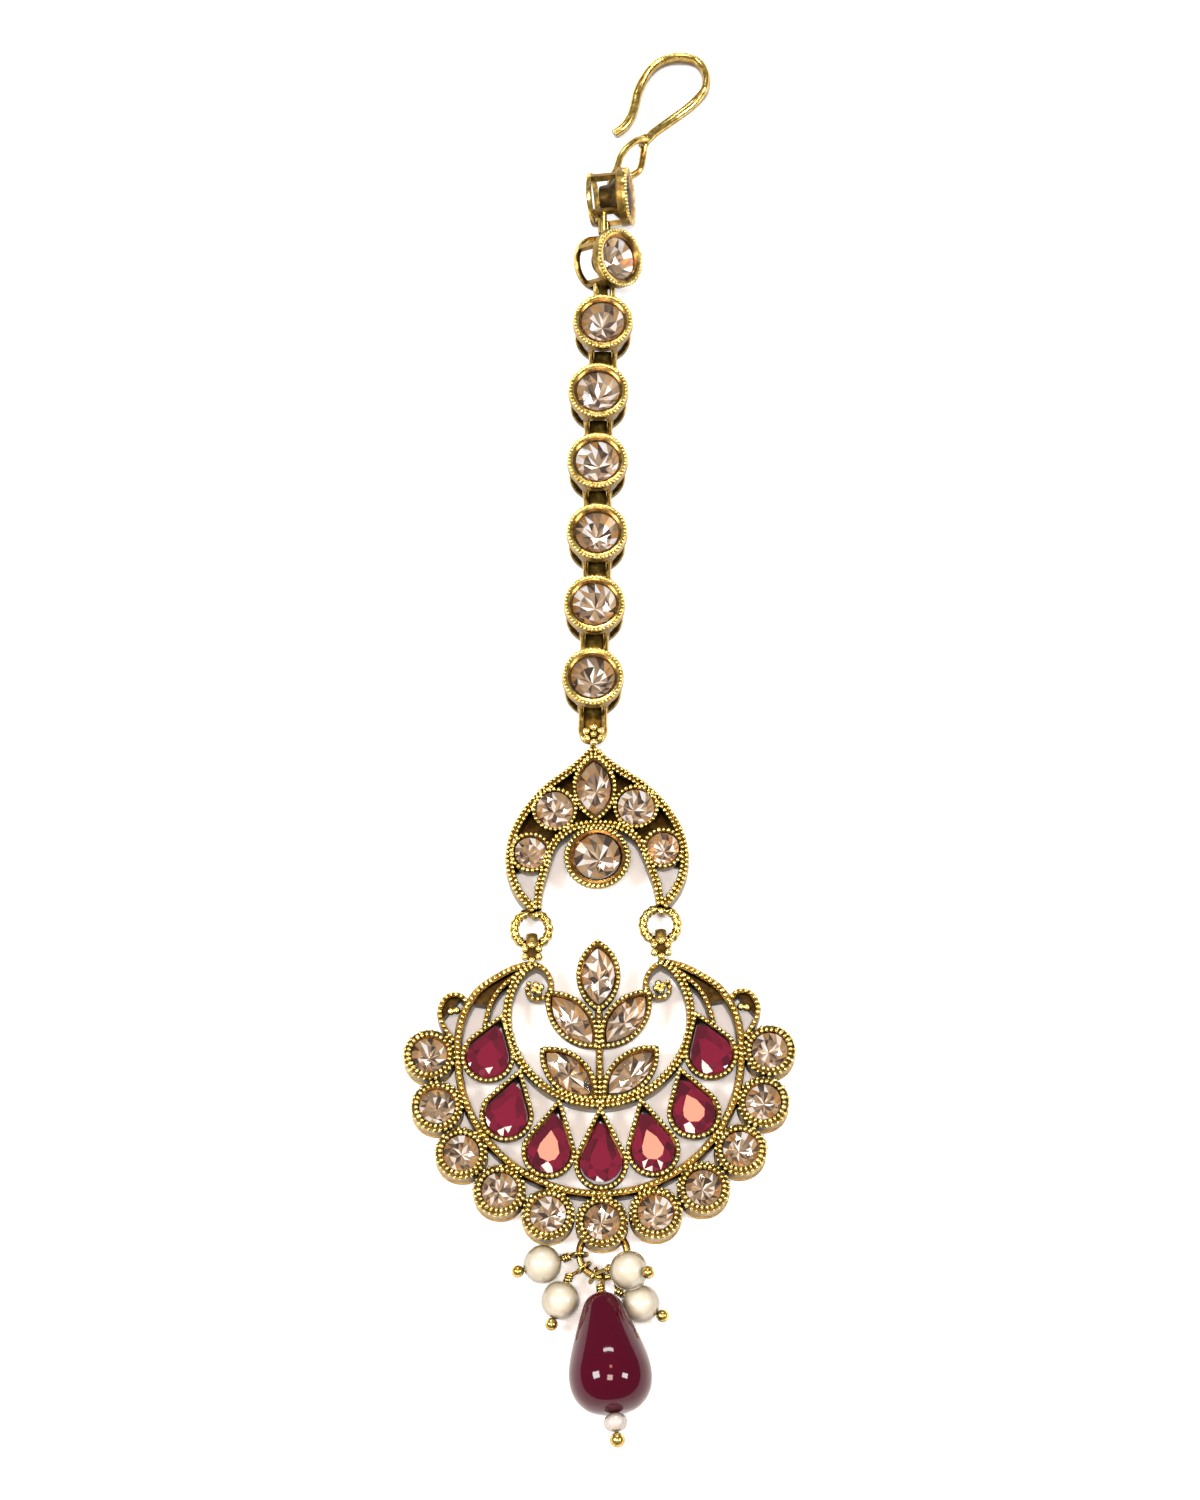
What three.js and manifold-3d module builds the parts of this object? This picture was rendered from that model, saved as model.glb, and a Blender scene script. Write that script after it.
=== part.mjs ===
// Maang tikka: a forehead jewel of soldered gold with a hair hook, a chain of eight stone-set links,
// a crescent, a broad half-moon pendant and a cluster of four pearls round a drop bead.
// Millimetres, +Z up. It lies face up, with its base on z = 0. +Y runs from the drop to the hook.

import * as THREE from 'three';
import { mergeVertices } from 'three/addons/utils/BufferGeometryUtils.js';
import { ConvexGeometry } from 'three/addons/geometries/ConvexGeometry.js';
import Module from 'manifold-3d';

const wasm = await Module();
wasm.setup();

// Clearances
const stoneGap = 0.2;        // between a stone and the wall of its setting
const wireGap = 0.3;         // between two wires that hook into each other
const drillGap = 0.2;        // between a pin and the hole of its bead
const bite = 0.15;           // how far soldered walls run into each other

// Chain links: a stone in a bezel, a gallery of posts, a plain ring under it and a loop to the next
const linkStone = 5.0;
const linkWall = 0.55;
const linkBezelHeight = 1.0;
const linkGalleryHeight = 2.9;
const linkRingHeight = 0.55;
const linkSpacing = 1.74;    // between the bezels of neighbouring links
const linkLoopWidth = 2.4;
const linkLoopWire = 0.6;
const postWidth = 0.55;
const postInset = 0.5;       // from the outside of the link to the middle of its posts

// Hair hook
const hookWire = 1.05;
const hookEyeWire = 0.7;
const hookStripWidth = 0.85; // the bend is hammered flat, on edge
const hookStripDepth = 2.2;

// Settings of the crescent and the pendant
const settingHeight = 3.0;
const settingFloor = 0.8;    // the closed back under each stone
const bandWidth = 0.9;
const bandBottom = 0.5;
const bandTop = 2.6;

// Crescent
const crescentHalfWidth = 9.5;
const crescentBigStone = 4.8;
const crescentBigWall = 0.8;
const crescentMidStone = 3.8;
const crescentSmallStone = 3.3;
const crescentWall = 0.35;
const crescentLeafLength = 5.75;
const crescentLeafWidth = 3.4;
const crescentTurn = 2;      // degrees about Z, as it lies
const legRingDiameter = 3.55;
const legRingWire = 0.95;
const legRingShift = -0.38;  // both rings were soldered a little to the left
const bailWire = 0.6;

// Pendant
const rimRadius = 17.25;
const rimCups = 11;
const rimStep = 18.15;       // degrees between neighbouring cups
const rimStone = 3.6;
const rimWall = 0.6;
const innerBandRadius = 9.3;
const innerBandRise = 4.2;   // its centre above the centre of the rim
const pearWidth = 4.3;
const pearWall = 0.4;
const leafLength = 6.2;
const leafWidth = 2.9;
const topLeafLength = 6.1;
const topLeafWidth = 3.34;
const leafWall = 0.45;
const stemWidth = 0.9;
const pendantTurn = 0.8;
const pendantBailRise = 2.39;// from the tip of a horn to the middle of its bail
const strandWidth = 0.6;

// Cluster under the pendant
const jumpRingDiameter = 4.8;
const jumpRingWire = 0.75;
const jumpRingSlack = 0.8;   // the ring lies pushed this far up into its cup
const pearl = 3.8;
const pinWire = 0.4;
const pinBall = 0.84;
const pinWrap = 0.9;
const wrapLength = 0.6;
const dropLength = 12.1;
const dropWidth = 8.2;
const seedPearl = 2.4;
const seedPearlLength = 1.85;
const dropBall = 1.5;
const beadGap = 0.05;        // between neighbours on the drop's pin

// Facets: enough for a round look at this size
const roundSides = 12;
const stoneSides = 8;
const wireSides = 5;
const leafSteps = 4;         // along each side of a leaf-shaped stone
const pearSteps = 9;         // round the wide end of a pear

// Materials
const metal = (color, roughness) => new THREE.MeshStandardMaterial({ color, roughness, metalness: 1 });
const gem = (color) => new THREE.MeshStandardMaterial({ color, roughness: 0.06, metalness: 0 });
const gold = metal(0xc39f4c, 0.32);
const wireGold = metal(0xcdae60, 0.3);
const champagne = gem(0x94796a);
const ruby = gem(0x74173a);
const dropGlass = gem(0x4a0511);
const nacre = new THREE.MeshStandardMaterial({ color: 0xe2d8c0, roughness: 0.25, metalness: 0 });

// Solids
function merged(geometry) {
  const bare = geometry.clone();
  bare.deleteAttribute('normal');
  bare.deleteAttribute('uv');
  return mergeVertices(bare, 1e-4);
}

function solidOf(geometry) {
  const clean = merged(geometry);
  const position = clean.getAttribute('position');
  const index = clean.getIndex().array;
  const corners = [];
  for (let i = 0; i < index.length; i += 3) {
    const [a, b, c] = [index[i], index[i + 1], index[i + 2]];
    if (a !== b && b !== c && c !== a) corners.push(a, b, c);
  }
  return new wasm.Manifold(new wasm.Mesh({
    numProp: 3,
    vertProperties: new Float32Array(position.array),
    triVerts: new Uint32Array(corners),
  }));
}

function geometryOf(solid) {
  const mesh = solid.getMesh();
  const geometry = new THREE.BufferGeometry();
  geometry.setAttribute('position', new THREE.BufferAttribute(mesh.vertProperties, 3));
  geometry.setIndex(new THREE.BufferAttribute(mesh.triVerts, 1));
  return geometry;
}

const joined = (solids) => solids.reduce((whole, next) => whole.add(next));

function place(name, geometry, material, parent) {
  const mesh = new THREE.Mesh(geometry, material);
  mesh.name = name;
  parent.add(mesh);
  return mesh;
}

// Outlines in the plane of the jewel, as lists of points
const radians = THREE.MathUtils.degToRad;
const point = (x, y) => new THREE.Vector2(x, y);
const mirrored = (points) => points.map((p) => point(-p.x, p.y));
const shares = (table, size) => table.map((row) => point(row.x * size, row.y * size));
const moved = (points, x, y, degrees = 0) => points.map(
  (p) => p.clone().rotateAround(point(0, 0), radians(degrees)).add(point(x, y)),
);

function arc(radius, fromDegrees, toDegrees, steps, cx = 0, cy = 0) {
  return Array.from({ length: steps + 1 }, (_, i) => {
    const angle = radians(THREE.MathUtils.lerp(fromDegrees, toDegrees, i / steps));
    return point(cx + radius * Math.cos(angle), cy + radius * Math.sin(angle));
  });
}

const circle = (radius, sides) => arc(radius, 0, 360, sides).slice(0, sides);

// A pear with the middle of its round end at the origin and its tip on +Y
function pear(radius, tip, steps) {
  const touch = THREE.MathUtils.radToDeg(Math.asin(radius / tip));
  return [...arc(radius, 180 - touch, 360 + touch, steps), point(0, tip)];
}

// A pointed oval with its tips on Y
function marquise(length, width, steps) {
  const radius = (length ** 2 + width ** 2) / (4 * width);
  const swing = THREE.MathUtils.radToDeg(Math.asin(length / 2 / radius));
  const side = arc(radius, -swing, swing, steps, width / 2 - radius, 0);
  const other = side.map((p) => point(-p.x, -p.y));
  return [...side.slice(0, -1), ...other.slice(0, -1)];
}

// Extruded walls
function plate(outline, bottom, top) {
  const shape = new THREE.Shape(outline);
  const geometry = new THREE.ExtrudeGeometry(shape, { depth: top - bottom, bevelEnabled: false });
  return solidOf(geometry.translate(0, 0, bottom));
}

// A wall of even width along a line of points
function band(line, width, bottom, top) {
  const left = [];
  const right = [];
  line.forEach((p, i) => {
    const along = line[Math.min(i + 1, line.length - 1)].clone().sub(line[Math.max(i - 1, 0)]);
    const across = point(-along.y, along.x).setLength(width / 2);
    left.push(p.clone().add(across));
    right.unshift(p.clone().sub(across));
  });
  return plate([...left, ...right], bottom, top);
}

function smooth(points, steps) {
  return new THREE.SplineCurve(points).getSpacedPoints(steps);
}

// A setting: a solid block and the pocket that takes its stone from above
function cup(outside, pocket, top = settingHeight) {
  return { block: plate(outside, 0, top), pocket: plate(pocket, settingFloor, top + 1) };
}

// Solders blocks and bands together, then clears every pocket
function withSettings(cups, rest) {
  return joined([...rest, ...cups.map((each) => each.block)]).subtract(joined(cups.map((each) => each.pocket)));
}

// Wires and turned solids
function wire(points, thickness, steps, closed = false, sides = wireSides) {
  const path = new THREE.CatmullRomCurve3(points, closed, 'centripetal');
  const section = new THREE.Shape(circle(thickness / 2, sides));
  return solidOf(new THREE.ExtrudeGeometry(section, { steps, extrudePath: path }));
}

function rod(from, to, thickness, sides = wireSides) {
  const section = new THREE.Shape(circle(thickness / 2, sides));
  return solidOf(new THREE.ExtrudeGeometry(section, { steps: 1, extrudePath: new THREE.LineCurve3(from, to) }));
}

const space = (x, y, z) => new THREE.Vector3(x, y, z);

// A round ring of wire about the Z axis
function ring(diameter, thickness, sides = roundSides) {
  const section = circle(thickness / 2, wireSides).map((p) => point(p.x + diameter / 2, p.y));
  return new THREE.LatheGeometry([...section, section[0]], sides).rotateX(Math.PI / 2);
}

// The same ring standing in the YZ plane, with its middle at a point
function standingRing(diameter, thickness, x, y, z, sides = roundSides) {
  return solidOf(ring(diameter, thickness, sides).rotateY(Math.PI / 2).translate(x, y, z));
}

function ball(diameter, at) {
  return solidOf(new THREE.SphereGeometry(diameter / 2, 8, 5).translate(at.x, at.y, at.z));
}

// Cut stone: a flat table, a crown of facets, a girdle and a pointed back
function cutStone(outline, girdle, crown, back) {
  const table = 0.62;
  const edge = 0.2;
  const middle = outline.reduce((sum, p) => sum.add(p), point(0, 0)).divideScalar(outline.length);
  const corners = [space(middle.x, middle.y, girdle - back)];
  outline.forEach((p) => {
    corners.push(space(p.x, p.y, girdle), space(p.x, p.y, girdle - edge));
    const inner = p.clone().lerp(middle, 1 - table);
    corners.push(space(inner.x, inner.y, girdle + crown));
  });
  return new ConvexGeometry(corners);
}

// Chain link: local origin in the middle of its base, with its loop on -Y
const linkHeight = linkRingHeight + linkGalleryHeight + linkBezelHeight;
const linkDiameter = linkStone + 2 * (stoneGap + linkWall);
const linkPitch = linkDiameter + linkSpacing;
const postRadius = linkDiameter / 2 - postInset;
const loopLevel = linkRingHeight + linkGalleryHeight * 0.4;
const barInset = postRadius - postWidth / 2 - wireGap - linkLoopWire / 2;
const barReach = linkPitch - barInset;

function linkBezel() {
  const outer = linkDiameter / 2;
  const pocket = outer - linkWall;
  const seat = linkHeight - 0.75 * linkBezelHeight;
  const profile = [
    point(pocket - 0.35, linkHeight - linkBezelHeight), point(outer, linkHeight - linkBezelHeight),
    point(outer, linkHeight - 0.15), point(pocket + 0.1, linkHeight),
    point(pocket, seat), point(pocket - 0.35, seat),
  ];
  return solidOf(new THREE.LatheGeometry([...profile, profile[0]], roundSides).rotateX(Math.PI / 2));
}

function linkBaseRing() {
  const inner = postRadius - postWidth / 2;
  const outer = postRadius + postWidth / 2;
  return plate(circle(outer, roundSides), 0, linkRingHeight)
    .subtract(plate(circle(inner, roundSides), -1, linkRingHeight + 1));
}

function linkPosts() {
  const half = postWidth / 2;
  const square = [point(-half, -half), point(half, -half), point(half, half), point(-half, half)];
  const top = linkHeight - linkBezelHeight + bite;
  return [0, 62, 153, 207, 298].map((degrees) => {
    const angle = radians(90 + degrees);
    const foot = moved(square, postRadius * Math.cos(angle), postRadius * Math.sin(angle), degrees);
    return plate(foot, linkRingHeight - bite, top);
  });
}

function linkLoop() {
  const side = linkLoopWidth / 2;
  const root = -postRadius + bite;
  const corner = 0.35 * side;
  return wire([
    space(-side, root, loopLevel), space(-side, (root - barReach) / 2, loopLevel),
    space(-side, -barReach + 2 * corner, loopLevel), space(-side + corner, -barReach + 0.25 * corner, loopLevel),
    space(0, -barReach, loopLevel),
    space(side - corner, -barReach + 0.25 * corner, loopLevel), space(side, -barReach + 2 * corner, loopLevel),
    space(side, (root - barReach) / 2, loopLevel), space(side, root, loopLevel),
  ], linkLoopWire, 11);
}

function linkFrame() {
  return geometryOf(joined([linkBezel(), linkBaseRing(), ...linkPosts(), linkLoop()]));
}

function linkStoneCut() {
  return cutStone(circle(linkStone / 2, stoneSides), linkHeight - 0.3 * linkBezelHeight, 0.9, 0.7 * linkStone / 2);
}

// Crescent: local origin at the crown of its inner arch; tables are shares of its half width
const crescentOuter = [
  { x: 0.000, y: 0.869 }, { x: 0.235, y: 0.660 }, { x: 0.498, y: 0.472 }, { x: 0.698, y: 0.265 },
  { x: 0.865, y: 0.005 }, { x: 0.948, y: -0.305 }, { x: 0.925, y: -0.565 }, { x: 0.840, y: -0.765 },
  { x: 0.705, y: -0.930 },
];
const crescentArch = [
  { x: 0.000, y: 0.016 }, { x: 0.235, y: -0.015 }, { x: 0.448, y: -0.160 }, { x: 0.550, y: -0.400 },
  { x: 0.630, y: -0.655 }, { x: 0.665, y: -0.910 },
];
const crescentMidAt = { x: 0.444, y: 0.193 };
const crescentSmallAt = { x: 0.721, y: -0.292 };
const crescentLeafAt = { x: 0, y: 0.428 };
const legRingAt = { x: 0.697, y: -1.125 };
const crescentBailAt = { x: 0, y: 1.002 };

const bigRadius = crescentBigStone / 2 + stoneGap + crescentBigWall;
const bigStoneY = -bigRadius - 0.18; // below the crown, as the arch rides over its rope
const ringLevel = 1.4;       // height of the leg rings' middle above the base
const bailDiameter = legRingWire + 2 * wireGap + bailWire;

function roundCup(x, y, stone, wall, top = settingHeight) {
  const outside = moved(circle(stone / 2 + stoneGap + wall, roundSides), x, y);
  const pocket = moved(circle(stone / 2 + stoneGap, roundSides), x, y);
  return cup(outside, pocket, top);
}

function leafCup(length, width, wall, x, y, degrees) {
  const grow = 2 * stoneGap;
  const tipGrow = grow * length / width;
  const pocket = marquise(length + tipGrow, width + grow, leafSteps);
  const outside = marquise(length + tipGrow + 2 * wall * length / width, width + grow + 2 * wall, leafSteps);
  return cup(moved(outside, x, y, degrees), moved(pocket, x, y, degrees));
}

function rosette(x, y, bottom, top) {
  return plate(moved(circle(1.1, 8), x, y), bottom, top);
}

const crescentRounds = [
  { name: 'crescent_stone_left', x: -crescentSmallAt.x, y: crescentSmallAt.y, stone: crescentSmallStone },
  { name: 'crescent_stone_upper_left', x: -crescentMidAt.x, y: crescentMidAt.y, stone: crescentMidStone },
  { name: 'crescent_stone_upper_right', x: crescentMidAt.x, y: crescentMidAt.y, stone: crescentMidStone },
  { name: 'crescent_stone_right', x: crescentSmallAt.x, y: crescentSmallAt.y, stone: crescentSmallStone },
];

function crescentFrame() {
  const half = crescentHalfWidth;
  const outer = smooth(shares(crescentOuter, half - bandWidth / 2 + 0.45), 12);
  const arch = smooth(shares(crescentArch, half), 8);
  const leaf = shares([crescentLeafAt], half)[0];
  const bail = shares([crescentBailAt], half)[0];
  const apex = crescentOuter[0].y * half;
  const legRing = shares([legRingAt], half)[0];
  const foot = crescentOuter.at(-1).y * half;
  const cups = [
    ...crescentRounds.map((row) => roundCup(row.x * half, row.y * half, row.stone, crescentWall)),
    roundCup(0, bigStoneY, crescentBigStone, crescentBigWall, settingHeight + 0.3),
    leafCup(crescentLeafLength, crescentLeafWidth, crescentWall, leaf.x, leaf.y, 0),
  ];
  return geometryOf(withSettings(cups, [
    band([...mirrored(outer).reverse(), ...outer.slice(1)], bandWidth, bandBottom, bandTop),
    band([...mirrored(arch).reverse(), ...arch.slice(1)], bandWidth, bandBottom, bandTop),
    standingRing(bailDiameter, bailWire, bail.x, bail.y, loopLevel),
    plate([
      point(-0.45, apex - bandWidth), point(0.45, apex - bandWidth),
      point(0.3, bail.y - bailDiameter / 2 + bite), point(-0.3, bail.y - bailDiameter / 2 + bite),
    ], bandBottom, bandTop),
    rosette(bail.x, bail.y, loopLevel + bailDiameter / 2 - bite, loopLevel + bailDiameter / 2 + 0.9),
    ...[-1, 1].map((side) => joined([
      solidOf(ring(legRingDiameter, legRingWire).translate(side * legRing.x + legRingShift, legRing.y, ringLevel)),
      plate(moved(circle(0.75, 6), side * crescentArch.at(-1).x * half, foot), bandBottom, bandTop),
    ])),
  ]));
}

// Pendant: local origin in the middle of the rim circle; tables are shares of the rim's radius
const rimCupRadius = rimStone / 2 + stoneGap + rimWall;
const outerBandRadius = rimRadius - rimCupRadius - bandWidth / 2 + bite;
const pearRadius = pearWidth / 2;
const pendantShoulder = [
  { x: 0.376, y: 0.563 }, { x: 0.484, y: 0.539 }, { x: 0.571, y: 0.497 }, { x: 0.657, y: 0.443 },
  { x: 0.715, y: 0.394 }, { x: 0.755, y: 0.334 }, { x: 0.793, y: 0.262 }, { x: 0.816, y: 0.184 },
];
const pendantStrand = [
  { x: 0.376, y: 0.563 }, { x: 0.455, y: 0.485 }, { x: 0.542, y: 0.443 }, { x: 0.599, y: 0.383 },
  { x: 0.640, y: 0.316 }, { x: 0.655, y: 0.230 }, { x: 0.645, y: 0.165 },
];
const pendantCurl = [
  { x: 0.376, y: 0.563 }, { x: 0.303, y: 0.515 }, { x: 0.268, y: 0.455 }, { x: 0.262, y: 0.394 },
  { x: 0.280, y: 0.346 }, { x: 0.330, y: 0.336 }, { x: 0.358, y: 0.398 },
];
const pendantSwirl = [
  { x: 0.770, y: 0.320 }, { x: 0.810, y: 0.371 }, { x: 0.868, y: 0.376 }, { x: 0.909, y: 0.346 },
  { x: 0.933, y: 0.286 }, { x: 0.926, y: 0.226 }, { x: 0.897, y: 0.165 }, { x: 0.850, y: 0.100 },
];
const pears = [ // degrees from the bottom, of the round end about the rim's centre and of the tip
  { round: -89.8, tip: -87.8 }, { round: -56.8, tip: -52.8 }, { round: -27.7, tip: -23.8 },
  { round: 0, tip: 0 },
  { round: 27.7, tip: 23.8 }, { round: 56.8, tip: 52.8 }, { round: 89.8, tip: 87.8 },
];
const leaves = [ // where each leaf leaves the stem, as a share of the inner band's radius, and its turn
  { name: 'leaf_stone_lower_left', root: -0.524, turn: 46.6 },
  { name: 'leaf_stone_lower_right', root: -0.524, turn: -46.6 },
  { name: 'leaf_stone_upper_left', root: 0.043, turn: 39.4 },
  { name: 'leaf_stone_upper_right', root: 0.043, turn: -39.4 },
];
const leafSetback = 1.2;     // from the middle of the stem to the tip of a leaf's stone
const stemTop = 0.53 * innerBandRadius;
const topLeafY = stemTop + topLeafLength / 2 + 0.35;
const hornTip = shares([pendantShoulder[0]], rimRadius)[0];

function rimCupAt(index) {
  const angle = radians(-90 + (index - (rimCups - 1) / 2) * rimStep);
  return point(rimRadius * Math.cos(angle), rimRadius * Math.sin(angle));
}

function pearAt(row) {
  const reach = outerBandRadius - bandWidth / 2 - pearRadius - stoneGap - pearWall + bite;
  const round = point(reach * Math.sin(radians(row.round)), -reach * Math.cos(radians(row.round)));
  const inner = innerBandRadius + bandWidth / 2 + 2 * pearWall;
  const tip = point(
    inner * Math.sin(radians(row.tip)),
    innerBandRise - inner * Math.cos(radians(row.tip)),
  );
  const along = tip.clone().sub(round);
  return { x: round.x, y: round.y, tip: along.length(), turn: THREE.MathUtils.radToDeg(along.angle()) - 90 };
}

function pearCup(row) {
  const at = pearAt(row);
  const grown = (wall) => moved(
    pear(pearRadius + wall, at.tip + wall * at.tip / pearRadius, pearSteps),
    at.x, at.y, at.turn,
  );
  return cup(grown(stoneGap + pearWall), grown(stoneGap));
}

function leafAt(row) {
  const turn = radians(row.turn);
  const reach = leafSetback + leafLength / 2;
  return point(-reach * Math.sin(turn), row.root * innerBandRadius + reach * Math.cos(turn));
}

function pendantBands() {
  const shoulder = shares(pendantShoulder, rimRadius);
  const sweep = arc(outerBandRadius, 2, -90, 14);
  const outer = [...shoulder, ...sweep];
  const inner = [
    ...shares([pendantShoulder[0]], rimRadius),
    ...arc(innerBandRadius, 14, -90, 10, 0, innerBandRise),
  ];
  const both = (half) => [...half, ...mirrored(half).reverse().slice(1)];
  const pairs = [pendantStrand, pendantCurl, pendantSwirl].map((table) => shares(table, rimRadius));
  return [
    band(both(outer), bandWidth, bandBottom, bandTop),
    band(both(inner), bandWidth, bandBottom, bandTop),
    ...pairs.flatMap((line) => [line, mirrored(line)]).map(
      (line) => band(smooth(line, 8), strandWidth, bandBottom, bandTop),
    ),
  ];
}

function pendantStem() {
  const half = stemWidth / 2;
  const foot = innerBandRise - innerBandRadius;
  return plate([
    point(-half, foot), point(half, foot), point(half, stemTop + bite), point(-half, stemTop + bite),
  ], bandBottom, bandTop);
}

// A bail stands on each horn, round the lowest point of the crescent's leg ring
function pendantBail(at) {
  const side = Math.sign(at.x);
  const horn = point(side * hornTip.x, hornTip.y);
  const low = at.y - bailDiameter / 2;
  return joined([
    standingRing(bailDiameter, bailWire, at.x, at.y, ringLevel),
    plate([
      point(horn.x - 0.5, horn.y - 0.5), point(horn.x + 0.5, horn.y - 0.5),
      point(at.x + 0.35, low + bite), point(at.x - 0.35, low + bite),
    ], bandBottom, bandTop),
    rosette(at.x, low - 0.2, bandTop - bite, bandTop + 1),
  ]);
}

function pendantFrame(bails, jumpRing) {
  const settings = [
    ...Array.from({ length: rimCups }, (_, i) => roundCup(rimCupAt(i).x, rimCupAt(i).y, rimStone, rimWall)),
    ...pears.map(pearCup),
    ...leaves.map((row) => leafCup(leafLength, leafWidth, leafWall, leafAt(row).x, leafAt(row).y, row.turn)),
    leafCup(topLeafLength, topLeafWidth, leafWall, 0, topLeafY, 0),
  ];
  const whole = withSettings(settings, [...pendantBands(), pendantStem(), ...bails.map(pendantBail)]);
  const channel = ring(jumpRingDiameter, jumpRingWire + 2 * wireGap).translate(jumpRing.x, jumpRing.y, jumpRing.z);
  return geometryOf(whole.subtract(solidOf(channel)));
}

// Cluster: local origin in the middle of the jump ring; places are shares of a pearl's width
const clusterPearls = [
  { name: 'left', eye: 183, x: -1.600, y: -0.276, z: 0.51, turn: 196, rise: 0 },
  { name: 'lower_left', eye: 216, x: -1.124, y: -1.232, z: 0.51, turn: 250, rise: 0 },
  { name: 'right', eye: 246, x: 0.665, y: -0.540, z: 1.225, turn: 344, rise: 40 },
  { name: 'lower_right', eye: 293, x: 0.966, y: -1.232, z: 0.51, turn: 331, rise: 0 },
];
const jumpRingLevel = 1.2;
const eyeDiameter = jumpRingWire + 2 * 0.2 + pinWire;
const drill = pinWire + 2 * drillGap;

function direction(turn, rise) {
  const flat = Math.cos(radians(rise));
  return space(flat * Math.cos(radians(turn)), flat * Math.sin(radians(turn)), Math.sin(radians(rise)));
}

// A drilled bead about the line through its middle, from a half profile of shares
function bead(profile, width, length, middle, along) {
  const half = drill / 2;
  const outside = profile.map((row) => point(Math.max(row.r * width / 2, half), (row.l - 0.5) * length));
  const line = [point(half, -length / 2), ...outside, point(half, length / 2)];
  const geometry = new THREE.LatheGeometry([...line, line[0]], roundSides);
  geometry.applyQuaternion(new THREE.Quaternion().setFromUnitVectors(space(0, 1, 0), along));
  return merged(geometry.translate(middle.x, middle.y, middle.z));
}

const roundProfile = [
  { r: 0.45, l: 0.05 }, { r: 0.86, l: 0.24 }, { r: 1.00, l: 0.50 }, { r: 0.86, l: 0.76 },
  { r: 0.45, l: 0.95 },
];
const dropProfile = [
  { r: 0.14, l: 0.01 }, { r: 0.30, l: 0.10 }, { r: 0.52, l: 0.24 }, { r: 0.76, l: 0.40 },
  { r: 0.94, l: 0.54 }, { r: 1.00, l: 0.66 }, { r: 0.95, l: 0.78 }, { r: 0.78, l: 0.89 },
  { r: 0.45, l: 0.98 },
];

// An eye of wire round the jump ring, at an angle in degrees
function pinEye(degrees) {
  const radius = jumpRingDiameter / 2;
  const geometry = ring(eyeDiameter, pinWire, 10).rotateX(Math.PI / 2).rotateZ(radians(degrees));
  return solidOf(geometry.translate(radius * Math.cos(radians(degrees)), radius * Math.sin(radians(degrees)), 0));
}

function eyeEdge(degrees, rise) {
  const radius = jumpRingDiameter / 2;
  const out = direction(degrees, 0).multiplyScalar(radius);
  return out.add(direction(degrees, rise).multiplyScalar(eyeDiameter / 2));
}

function pearlMiddle(row) {
  return space(row.x * pearl, row.y * pearl, row.z * pearl - jumpRingLevel);
}

function pearlPin(row) {
  const middle = pearlMiddle(row);
  const along = direction(row.turn, row.rise);
  const near = middle.clone().addScaledVector(along, -pearl / 2 - 0.15);
  const far = middle.clone().addScaledVector(along, pearl / 2 + pinBall / 2);
  const wrapMiddle = near.clone().addScaledVector(along, -wrapLength / 2);
  const eye = eyeEdge(row.eye, row.rise > 0 ? 90 : 0);
  const wrapStart = near.clone().addScaledVector(along, -wrapLength);
  return geometryOf(joined([
    pinEye(row.eye), wire([eye, eye.clone().lerp(wrapStart, 0.5), wrapMiddle], pinWire, 2),
    rod(wrapStart, near, pinWrap), rod(wrapMiddle, far, pinWire), ball(pinBall, far),
  ]));
}

const dropTurn = 277.3;
const dropRise = 6;
const dropTop = space(-0.2, -4.2, 3.3 - jumpRingLevel);

function dropAt(distance) {
  return dropTop.clone().addScaledVector(direction(dropTurn, dropRise), distance);
}

function dropPin() {
  const end = dropLength + seedPearlLength + 2 * beadGap + dropBall / 2;
  const eye = eyeEdge(270, 90);
  const cap = dropAt(-0.25);
  return geometryOf(joined([
    pinEye(270), wire([eye, eye.clone().lerp(cap, 0.5).add(space(0, 0, 0.15)), cap], pinWire, 4),
    rod(dropAt(-0.9), dropAt(-0.2), pinWrap), rod(cap, dropAt(end), pinWire), ball(dropBall, dropAt(end)),
  ]));
}

// Assembly
const jewel = new THREE.Group();

function buildCrescent() {
  const group = new THREE.Group();
  const half = crescentHalfWidth;
  place('crescent_frame', crescentFrame(), gold, group);
  crescentRounds.forEach((row) => {
    const outline = moved(circle(row.stone / 2, stoneSides), row.x * half, row.y * half);
    place(row.name, cutStone(outline, settingHeight - 0.4, 0.75, 1.2), champagne, group);
  });
  const big = moved(circle(crescentBigStone / 2, stoneSides), 0, bigStoneY);
  place('crescent_stone_big', cutStone(big, settingHeight - 0.1, 0.85, 1.6), champagne, group);
  const leaf = moved(marquise(crescentLeafLength, crescentLeafWidth, leafSteps), 0, crescentLeafAt.y * half);
  place('crescent_stone_leaf', cutStone(leaf, settingHeight - 0.4, 0.7, 1.2), champagne, group);
  group.rotation.z = radians(crescentTurn);
  jewel.add(group);
  return group;
}

// Links from the crescent up: sideways place, turn about the chain, tilt, and slack towards the next
const chainRoute = [
  { x: -0.33, turn: 0, tilt: 0, slack: 0 }, { x: -0.17, turn: 0, tilt: 0, slack: 0 },
  { x: 0.10, turn: 0, tilt: 0, slack: 0 }, { x: 0.14, turn: 0, tilt: 0, slack: 0 },
  { x: 0.24, turn: 0, tilt: 0, slack: 0 }, { x: 0.73, turn: 0, tilt: 0, slack: 0 },
  { x: 0.88, turn: 42, tilt: 13.5, slack: 0.4 }, { x: 1.08, turn: 80, tilt: -5, slack: 0.4 },
];

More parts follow.
